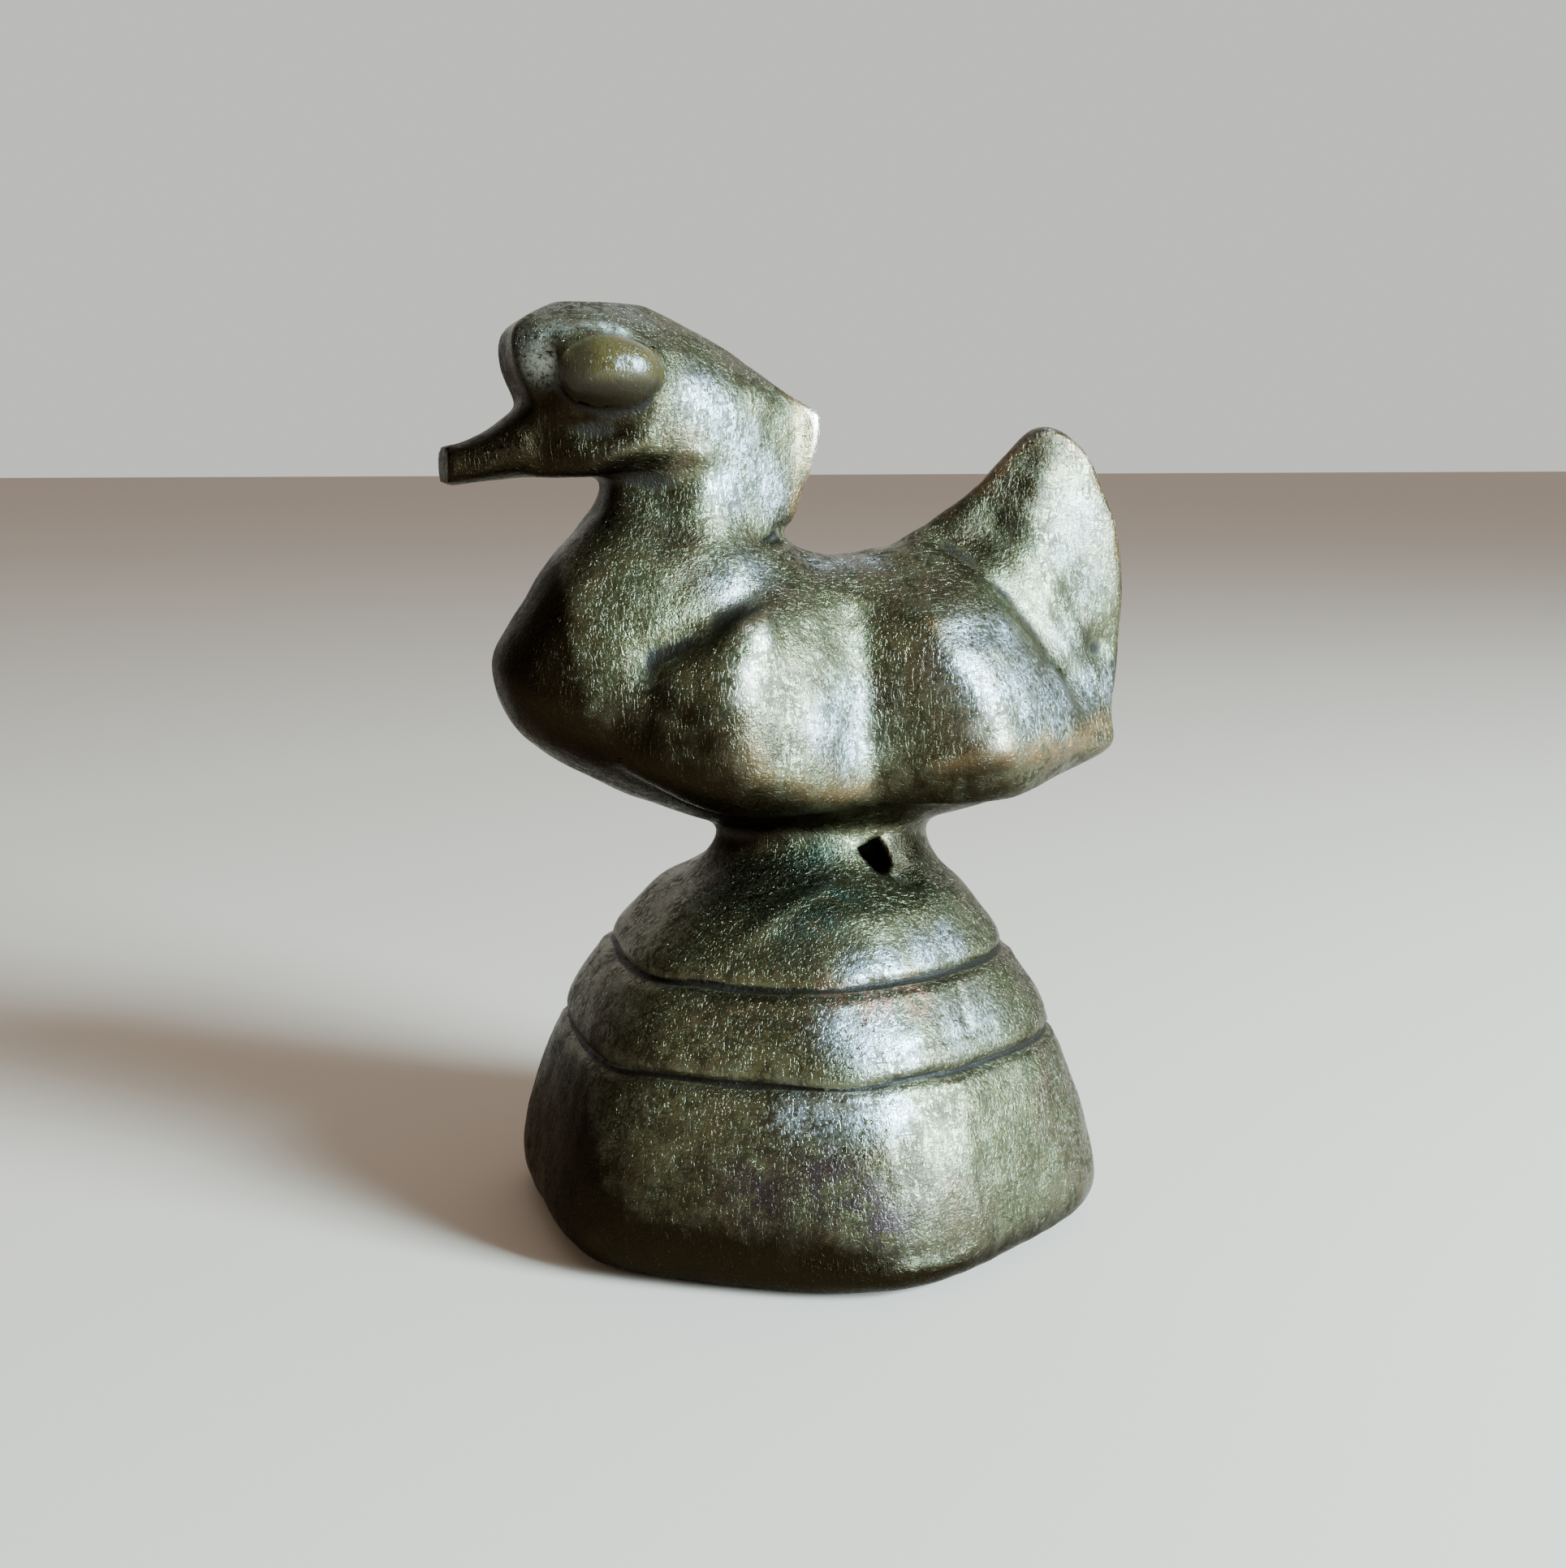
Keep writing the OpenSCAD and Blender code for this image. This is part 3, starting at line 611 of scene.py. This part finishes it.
# Bluish colour of the painted highlights
PAINTED_HIGHLIGHT_BLUE = rgb(0.44, 0.5, 0.54)
GRIME = rgb(0.01, 0.007, 0.004)
VERDIGRIS = rgb(0.05, 0.072, 0.045)
COPPER = rgb(0.3, 0.16, 0.1)
PURPLE = rgb(0.06, 0.038, 0.04)
FLOOR = rgb(0.58, 0.44, 0.34)
ROOM_DARK = rgb(0.085, 0.08, 0.065)
ROOM_LIGHT = rgb(0.75, 0.75, 0.71)

# What is the same all over the bronze, by the name of the shader's socket
EVEN = {
    "IOR": 1.6,
    "Specular Tint": EDGE_TINT,
    "Specular IOR Level": 0.2,
    "Coat Roughness": 0.2,
    "Coat IOR": 1.6,
}
COAT = 0.6
BUMP_DISTANCE = 0.00006


def bronze():
    """Patinated bronze with painted shade and painted highlights: noise in millimetres, steered by the masks on each
    piece.
    """
    material = bpy.data.materials.new("bronze")
    material.use_nodes = True
    n = Nodes(material.node_tree)
    shader = material.node_tree.nodes["Principled BSDF"]
    place = n.add("TexCoord").outputs["Object"]
    place = n.add("VectorMath", {0: place, "Scale": MM}, operation="SCALE").outputs["Vector"]
    broad = n.noise(place, 0.22, 4.0, 0.6, 0.4)
    mottle = n.noise(place, 0.9, 5.0, 0.62, 0.3)
    grain = n.noise(place, 4.0, 4.0, 0.6, 0.8)
    fine = n.noise(place, 11.0, 2.0, 0.5, 0.5)
    wear, under, hollow, eye = n.mask("wear"), n.mask("under"), n.mask("hollow"), n.mask("eye")

    def crossing(kinds, low, high, twist):
        """Short marks that run in several directions."""
        marks = None
        for turn, scale in kinds:
            line = n.ramp(n.noise(n.stretched(place, turn, scale), 1.0, 2.0, 0.55, twist), low, high)
            marks = line if marks is None else n.most(marks, line)
        return marks

    scratches = crossing(
        (((0.3, 0.5, 0.2), (7.0, 0.5, 7.0)), ((0.9, 0.2, 1.1), (0.5, 8.0, 8.0)), ((0.2, 1.2, 2.1), (8.0, 8.0, 0.6))),
        0.65, 0.71, 0.2,
    )
    streaks = crossing(
        (((0.4, 0.2, 0.3), (3.2, 3.2, 0.8)), ((1.0, 0.5, 0.2), (3.4, 0.9, 3.4)), ((0.5, 0.9, 1.3), (3.8, 3.0, 1.0))),
        0.54, 0.6, 0.9,
    )
    pits = n.ramp(n.noise(place, 2.0, 4.0, 0.65, 1.4), 0.53, 0.6)
    matt = n.most(n.times(streaks, 0.85), n.times(pits, 0.7))
    matt = n.times(matt, n.minus(1.0, eye))
    matt = n.times(matt, n.ramp(n.noise(place, 0.5, 3.0, 0.6, 0.5), 0.3, 0.6))

    colour = n.mix(n.ramp(mottle, 0.36, 0.62), SAGE, OLIVE)
    colour = n.mix(n.times(n.ramp(broad, 0.42, 0.64), 0.8), colour, UMBER)
    # Painted shade: faces turned down and forward, broken by mottle, and the patches of painted shade
    shaded = n.ramp(n.plus(under, n.times(n.minus(mottle, 0.5), 0.7)), 0.1, 0.95)
    painted_shade = n.most(shaded, n.times(n.mask("spot_shade"), n.ramp(mottle, 0.05, 0.35)))
    flecks = n.times(n.ramp(mottle, 0.15, 0.5), n.ramp(grain, 0.32, 0.56))
    # Painted highlight: bluish flecked colour where the highlight mask is set
    colour = n.mix(n.times(n.mask("painted_highlight"), flecks), colour, PAINTED_HIGHLIGHT_BLUE)
    colour = n.mix(n.times(scratches, n.times(n.minus(1.0, painted_shade), 0.35)), colour, PALE_SCRATCH_AND_LIT_BROW)
    colour = n.mix(matt, colour, MATT_DARK)
    uneven_wear = n.plus(wear, n.times(n.minus(mottle, 0.5), 0.5))
    colour = n.mix(n.times(n.ramp(uneven_wear, 0.16, 0.5), 0.7), colour, RED_BROWN)
    worn = n.ramp(uneven_wear, 0.42, 0.85)
    polish = n.times(n.mask("polish"), n.ramp(mottle, 0.3, 0.55))
    worn = n.most(worn, n.times(polish, 0.9))
    colour = n.mix(worn, colour, WORN_BRONZE)
    colour = n.mix(n.times(n.mask("rim"), n.ramp(mottle, 0.3, 0.6)), colour, GOLD_BROWN)
    colour = n.mix(n.times(eye, 0.97), colour, EYE_BROWN)
    colour = n.mix(n.times(eye, n.times(n.ramp(grain, 0.48, 0.62), 0.7)), colour, SHADE)
    colour = n.mix(n.times(eye, n.times(n.ramp(fine, 0.55, 0.7), 0.6)), colour, EYE_GOLD)
    for name, tone in (("verdigris", VERDIGRIS), ("copper", COPPER), ("purple", PURPLE)):
        stain = n.times(n.mask(name), n.ramp(mottle, 0.38, 0.56))
        colour = n.mix(stain, colour, tone)
    # Painted shade darkens the colour to dark brown
    colour = n.mix(painted_shade, colour, SHADE)
    dirt = n.plus(hollow, n.times(n.minus(grain, 0.5), 0.3))
    grimy = n.ramp(dirt, 0.1, 0.6)
    colour = n.mix(grimy, colour, GRIME)
    # Painted light on the brow facet and along the brow line above the eye
    pale = n.times(n.mask("pale"), n.ramp(grain, 0.3, 0.55))
    colour = n.mix(pale, colour, PALE_SCRATCH_AND_LIT_BROW)
    n.put(shader.inputs["Base Color"], colour)

    for socket, value in EVEN.items():
        shader.inputs[socket].default_value = value
    n.put(shader.inputs["Metallic"], n.minus(1.0, n.most(n.most(eye, pale), n.times(grimy, 0.7))))
    span = {"Value": grain, "From Min": 0.3, "From Max": 0.7, "To Min": 0.2, "To Max": 0.37}
    rough = n.add("MapRange", span).outputs[0]
    rough = n.plus(rough, n.times(n.most(grimy, matt), 0.2))
    rough = n.minus(rough, n.times(eye, 0.1))
    n.put(shader.inputs["Roughness"], rough)
    bare = n.most(n.most(matt, painted_shade), grimy)
    n.put(shader.inputs["Coat Weight"], n.times(n.minus(1.0, bare), COAT))

    height = n.plus(n.times(grain, 0.6), n.times(fine, 0.3))
    height = n.minus(height, n.times(n.most(scratches, n.times(streaks, 0.6)), 0.35))
    height = n.plus(height, n.times(mottle, 0.7))
    height = n.times(height, n.minus(1.0, n.times(eye, 0.45)))
    bump = n.add("Bump", {"Height": height, "Strength": 1.0, "Distance": BUMP_DISTANCE})
    n.put(shader.inputs["Normal"], bump.outputs["Normal"])
    n.put(shader.inputs["Coat Normal"], bump.outputs["Normal"])
    return material


# Pieces


def patch(points, spots, radius):
    """Soft mask round a few places."""
    gaps = [np.linalg.norm(points - np.array(spot), axis=1) for spot in spots]
    return np.exp(-((np.min(gaps, axis=0) / radius) ** 2))


def along(points, lines, width):
    """Soft mask along lines, mirrored to both flanks."""
    x, y, z = np.abs(points[:, 0]), points[:, 1], points[:, 2]
    gaps = [line_distance(x, y, z, np.array(line)) for line in lines]
    return np.exp(-((np.min(gaps, axis=0) / width) ** 2))


def painted(points, layers):
    """Strongest of several patches, mirrored to both flanks."""
    folded = np.column_stack([np.abs(points[:, 0]), points[:, 1:]])
    return np.max([strength * patch(folded, spots, radius) for spots, radius, strength in layers], axis=0)


VERDIGRIS_SPOTS = ((4.7, -1.0, 20.8), (6.9, -0.3, 19.4), (8.5, -1.8, 18.5), (8.4, -2.7, 18.1))
COPPER_SPOTS = ((11.3, -1.8, 14.9), (12.0, 0.0, 14.7), (11.5, 2.2, 14.8))
POLISH_SPOTS = ((8.6, 7.9, 27.3), (8.3, 7.1, 28.2), (8.6, -6.1, 30.6), (8.4, -5.9, 31.6), (8.0, -5.2, 33.4))
PURPLE_SPOTS = ((15.1, -3.5, 6.7), (16.1, -2.1, 5.2), (16.6, -0.9, 4.0), (13.5, -6.5, 5.5))
# Places, radius and strength of painted shade, painted highlights and painted light on the brow, the same on both
# flanks
PAINTED_SHADE_SPOTS = (
    (
        (
            (0.8, 14.1, 43.4), (0.9, 13.9, 42.6), (1.2, 12.9, 40.8),
            (1.5, 11.5, 39.0), (2.0, 10.1, 37.7), (1.2, 9.2, 39.4),
        ),
        1.6, 0.95,
    ),
    (((1.6, 13.0, 39.0), (2.5, 10.9, 36.8)), 1.3, 0.5),
    (((1.7, -2.9, 45.2), (2.2, -4.2, 46.0)), 1.4, 0.35),
    (((9.3, -4.9, 28.4), (9.2, -4.4, 27.5)), 1.1, 0.85),
    (((8.8, -4.3, 30.6), (9.1, -3.9, 27.6), (8.8, -2.1, 26.9)), 1.2, 0.5),
    (((6.9, -1.7, 33.4), (6.4, -0.2, 33.3)), 1.6, 0.3),
    (((5.4, -10.9, 35.2), (5.8, -6.8, 35.2), (5.3, -8.9, 35.6)), 1.5, 0.3),
    (((15.8, 1.6, 6.4), (16.4, 1.3, 4.5), (15.4, 4.0, 5.1), (16.6, 1.2, 2.5), (15.5, 4.4, 2.1)), 1.8, 0.45),
    (((1.5, 16.6, 37.6), (1.5, 16.4, 36.2)), 1.6, 0.25),
    (
        (
            (2.5, -10.6, 41.0), (3.4, -9.8, 39.2), (3.4, -8.4, 40.4),
            (2.9, -11.2, 39.3), (3.0, -9.9, 41.4), (3.7, -8.6, 38.8),
        ),
        1.6, 0.75,
    ),
    (((3.7, -13.4, 44.0), (3.4, -15.0, 45.4), (3.8, -12.2, 43.9), (3.6, -14.4, 44.6), (4.0, -11.0, 44.0)), 1.5, 1.0),
    (((4.2, -8.3, 46.2), (4.2, -8.3, 44.8)), 1.2, 0.65),
    (((4.6, -13.6, 45.4), (4.8, -12.0, 44.8), (4.3, -14.5, 46.0), (4.7, -10.4, 44.9)), 1.15, 0.95),
    (
        (
            (8.4, -8.8, 29.4), (7.7, -9.9, 30.2), (7.4, -10.6, 28.7),
            (8.8, -8.0, 28.0), (8.0, -9.4, 28.0), (8.5, -8.1, 26.8),
        ),
        1.6, 1.0,
    ),
    (((7.5, 2.7, 29.6), (7.6, 3.0, 28.2), (7.8, 3.4, 26.5)), 1.3, 0.75),
    (((4.0, -4.4, 21.2), (5.4, -3.2, 21.2), (6.2, -1.2, 21.2)), 1.7, 0.9),
    (
        (
            (3.6, 4.0, 21.2), (4.4, 4.0, 20.2), (3.4, 5.4, 20.7),
            (3.8, 4.7, 20.5), (3.5, 4.8, 21.3), (4.4, 3.5, 20.8),
        ),
        1.25, 1.0,
    ),
)
# Painted highlights on the lit facets
PAINTED_HIGHLIGHT_SPOTS = (
    (((1.8, -14.2, 49.8), (2.2, -12.2, 50.2), (2.0, -10.4, 49.8)), 1.4, 0.3),
    (
        (
            (3.5, -6.6, 45.8), (3.1, -5.5, 44.6), (2.5, -4.2, 43.1),
            (1.9, -3.1, 41.6), (1.5, -2.3, 40.7), (2.8, -5.0, 40.9),
        ),
        1.2, 0.9,
    ),
    (((7.7, 0.4, 29.8), (7.8, 0.3, 27.6), (7.8, -0.6, 29.0), (7.9, -1.4, 28.6)), 1.2, 0.9),
    (((12.6, -2.0, 13.4), (13.3, -0.8, 12.8), (13.3, 0.8, 12.8), (12.7, 0.0, 13.8)), 1.2, 0.9),
    (((11.0, -0.3, 16.2), (10.7, 1.3, 16.3), (9.6, 3.8, 16.5), (8.5, 5.6, 16.7)), 0.9, 1.0),
    (((13.5, -4.7, 9.5), (14.2, -3.2, 9.4), (14.7, -1.6, 9.5), (14.9, 0.1, 9.6)), 1.0, 0.9),
    (((7.3, 7.3, 33.1), (6.4, 9.5, 33.0), (5.7, 13.3, 29.7), (3.0, 16.1, 29.4), (1.6, 18.2, 29.2)), 1.3, 0.75),
    (
        (
            (7.8, 6.4, 31.6), (8.2, 7.2, 30.4), (7.9, 9.0, 30.2), (7.8, 10.2, 28.8),
            (7.3, 10.6, 31.0), (6.9, 11.8, 29.8), (6.6, 12.6, 28.6),
        ),
        1.3, 0.7,
    ),
    (((1.2, 16.2, 39.0), (1.6, 16.6, 35.3), (1.7, 15.0, 37.2), (3.0, 15.0, 32.2)), 1.5, 0.25),
    (((11.6, 4.6, 12.9), (10.6, 6.6, 12.9)), 1.4, 0.4),
    (((5.4, -5.7, 36.0), (4.8, -4.2, 36.7)), 1.2, 0.5),
    (((2.5, 0.1, 36.9), (2.2, 1.6, 36.8), (2.1, 3.1, 36.9)), 0.9, 0.7),
)
# Spots where the painted shade on faces turned down and forward is weakened
LIT = ((((3.6, -12.2, 37.7), (4.2, -11.8, 36.5)), 1.8, 0.9), (((10.4, -7.2, 12.9),), 2.0, 0.7))
# Painted light on the brow facet beside the eye and along the brow line above it
LIT_BROW_SPOTS = (
    (((3.0, -15.1, 47.9), (3.2, -14.9, 47.4), (3.5, -14.5, 48.2)), 0.85, 1.0),
    (((4.3, -13.9, 48.7), (4.2, -12.9, 48.9), (4.1, -12.0, 49.0), (4.0, -11.0, 48.9)), 0.42, 0.8),
)
GOLDEN_RIMS = (
    [(8.8, -5.8, 27.6), (8.8, -5.3, 26.4), (8.0, -2.4, 25.1), (7.1, 0.8, 24.6)],
    [(8.3, 5.0, 25.9), (8.6, 8.1, 26.8), (7.2, 11.6, 26.8), (5.1, 14.9, 26.8), (2.5, 18.0, 27.5)],
)
GOLDEN_EDGES = (
    [(0.0, 18.7, 30.0), (0.0, 19.2, 34.0), (0.0, 18.3, 38.5), (0.0, 15.7, 42.5)],
    [(0.0, -0.2, 46.0), (0.0, -0.4, 43.0), (0.0, -0.8, 40.0)],
)


# Blur of the field that shows worn edges, hollows and broad forms, and of the normals that tell which way a form faces
EDGE_BLUR = 0.45
FORM_BLUR = 1.2
FACING_BLUR = 2.2
# The eye's outline in Y and Z
EYE_CENTRE = (-11.7, 46.7)
EYE_RADII = (3.1, 2.05)
# Share of the painted highlight on the flank that is turned away from the window
FAR_HIGHLIGHT_SHARE = 0.5

gradient = np.gradient(F, VOXEL)
edges, forms = blurred(F, EDGE_BLUR), blurred(F, FORM_BLUR)
broad_gradient = np.gradient(blurred(forms, FACING_BLUR), VOXEL)


def directions(slopes, points):
    """Unit vectors along a gradient at points."""
    vectors = np.stack([sampled(g, points) for g in slopes], 1)
    return vectors / np.maximum(np.linalg.norm(vectors, axis=1), 1e-9)[:, None]


def quad_mesh(name, points, quads, normals):
    """Smooth mesh in metres, with the field's own normals."""
    mesh = bpy.data.meshes.new(name)
    mesh.vertices.add(len(points))
    mesh.vertices.foreach_set("co", (points / MM).astype(np.float32).ravel())
    mesh.loops.add(len(quads) * 4)
    mesh.loops.foreach_set("vertex_index", quads.astype(np.int32).ravel())
    mesh.polygons.add(len(quads))
    mesh.polygons.foreach_set("loop_start", np.arange(0, len(quads) * 4, 4, dtype=np.int32))
    mesh.update(calc_edges=True)
    mesh.validate()
    mesh.shade_smooth()
    mesh.normals_split_custom_set_from_vertices([tuple(v) for v in normals])
    return mesh


def paint_masks(points, normals, is_eye):
    """Strength of each kind of patina, painted shade and painted light at points: {name: values}."""
    x, y, z = points.T
    facing = 0.35 * normals + 0.65 * directions(broad_gradient, points)
    edge, form = sampled(edges, points) / EDGE_BLUR, sampled(forms, points) / FORM_BLUR
    on_head = ease((z - 40.0) / 2.0) * ease((-3.0 - y) / 2.0)
    handled = (1 - on_head) * ease((z - 0.3) / 3.5)
    across, above = (y - EYE_CENTRE[0]) / EYE_RADII[0], (z - EYE_CENTRE[1]) / EYE_RADII[1]
    eyed = ease(4.0 * (1.0 - across**2 - above**2)) * is_eye
    eye_shade = eyed * np.maximum(ease((47.0 - z) / 1.0), 0.9 * ease((-12.0 - y) / 1.6))
    # Painted light on the brow, which the grime in hollows leaves alone
    pale = painted(points, LIT_BROW_SPOTS)
    # Painted shade on faces turned down and forward, under the brow and near the floor
    downward_shade = ease((0.42 - 0.75 * facing[:, 1] - 0.9 * facing[:, 2]) / 1.25) * (1 - painted(points, LIT))
    under_brow_shade = ease((-13.4 - y) / 2.0) * ease((47.0 - z) / 2.0)
    near_floor_shade = 0.5 * ease((4.5 - z) / 4.0)
    return {
        "wear": np.clip(1.5 * edge + 0.5 * form - 0.28, 0, 1) * handled * (1 - 0.6 * eyed),
        "eye": eyed,
        # Painted shade in patches, and over the lower and front part of the eye
        "spot_shade": np.maximum(painted(points, PAINTED_SHADE_SPOTS), eye_shade),
        # Painted highlights, weaker on the flank turned away from the window
        "painted_highlight": painted(points, PAINTED_HIGHLIGHT_SPOTS) * np.where(x > 0, 1.0, FAR_HIGHLIGHT_SHARE),
        "rim": 0.9 * np.maximum(along(points, GOLDEN_RIMS, 0.75), along(points, GOLDEN_EDGES, 0.55)),
        "polish": patch(points, POLISH_SPOTS, 0.65),
        "pale": pale,
        "hollow": np.clip(-3.2 * edge - 0.3, 0, 1) * (1 - pale),
        "under": np.clip(downward_shade + under_brow_shade + near_floor_shade, 0, 1),
        "verdigris": patch(points, VERDIGRIS_SPOTS, 1.6),
        "copper": patch(points, COPPER_SPOTS, 1.0),
        "purple": patch(points, PURPLE_SPOTS, 1.8),
    }


def placed(name, data):
    """New object in the scene."""
    thing = bpy.data.objects.new(name, data)
    bpy.context.scene.collection.objects.link(thing)
    return thing


metal = bronze()
for number, (points, quads) in cut_pieces(F, owner_field).items():
    node = NODES[number]
    normals = directions(gradient, points)
    mesh = quad_mesh("cast_" + node, points, quads, normals)
    for name, values in paint_masks(points, normals, node.endswith("eye")).items():
        layer = mesh.attributes.new(name, "FLOAT", "POINT")
        layer.data.foreach_set("value", values.astype(np.float32))
    mesh.materials.append(metal)
    piece = placed("cast_" + node, mesh)
    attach(piece, "root")
    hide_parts(node)


# Camera, placed as the photograph's was

PHOTO_WIDTH = 1929
SENSOR = 36
FOCAL_PX = 2450.0
AXIS_PX = 990.0
DISTANCE = 0.1111
EYE_HEIGHT = 0.043
AZIMUTH = math.radians(73)
PITCH = math.radians(9.6)

away = Vector((math.sin(AZIMUTH), -math.cos(AZIMUTH), 0))
right = Vector((math.cos(AZIMUTH), math.sin(AZIMUTH), 0))
up = Vector((0, 0, 1))
aside = (AXIS_PX - PHOTO_WIDTH / 2) / FOCAL_PX * DISTANCE
back = away * math.cos(PITCH) + up * math.sin(PITCH)
camera = placed("camera", bpy.data.cameras.new("camera"))
camera.data.sensor_fit = "HORIZONTAL"
camera.data.sensor_width = SENSOR
camera.data.lens = SENSOR * FOCAL_PX / PHOTO_WIDTH
camera.data.clip_start, camera.data.clip_end = 0.005, 20
camera.matrix_world = Matrix((right, back.cross(right), back)).transposed().to_4x4()
camera.location = away * DISTANCE - right * aside + up * EYE_HEIGHT
bpy.context.scene.camera = camera


# Floor and light

LIGHTS_AIM = Vector((0, 0, 0.026))


def area_light(name, place, size, power, colour):
    """Rectangular light that faces the part."""
    data = bpy.data.lights.new(name, "AREA")
    data.shape = "RECTANGLE"
    data.size, data.size_y = size
    data.energy = power
    data.color = colour
    light = placed(name, data)
    light.location = place
    light.rotation_mode = "QUATERNION"
    light.rotation_quaternion = (LIGHTS_AIM - place).to_track_quat("-Z", "Y")


area_light("key", right * 0.335 + away * 0.19 + up * 0.15, (0.14, 0.2), 16.5, (0.54, 0.82, 1.0))
area_light("fill", away * 0.5 - right * 0.36 + up * 0.31, (0.4, 0.4), 0.6, (1.0, 0.97, 0.8))

sun = placed("sky_light", bpy.data.lights.new("sky_light", "SUN"))
sun.data.energy = 1.0
sun.data.angle = math.radians(110)
sun.rotation_mode = "QUATERNION"
sun.rotation_quaternion = (-(right * 0.45 - away * 0.15 + up)).to_track_quat("-Z", "Y")

# A pale wall behind the part, and a darker room on the viewer's side
world = bpy.data.worlds.new("world")
world.use_nodes = True
sky = Nodes(world.node_tree)
aim = sky.add("TexCoord").outputs["Generated"]
behind = sky.add("VectorMath", {0: aim, 1: -away}, operation="DOT_PRODUCT").outputs["Value"]
background = world.node_tree.nodes["Background"]
sky.put(background.inputs["Color"], sky.mix(sky.ramp(behind, 0.35, 0.85), ROOM_DARK, ROOM_LIGHT))
bpy.context.scene.world = world

FLOOR_REACH = 3
corners = [(x * FLOOR_REACH, y * FLOOR_REACH, 0) for x, y in ((-1, -1), (1, -1), (1, 1), (-1, 1))]
floor_mesh = bpy.data.meshes.new("floor")
floor_mesh.from_pydata(corners, [], [(0, 1, 2, 3)])
floor = placed("floor", floor_mesh)
floor_material = bpy.data.materials.new("pale_floor")
floor_material.use_nodes = True
floor_shader = floor_material.node_tree.nodes["Principled BSDF"]
floor_shader.inputs["Base Color"].default_value = FLOOR
floor_shader.inputs["Roughness"].default_value = 0.8
floor_mesh.materials.append(floor_material)

bpy.context.view_layer.update()
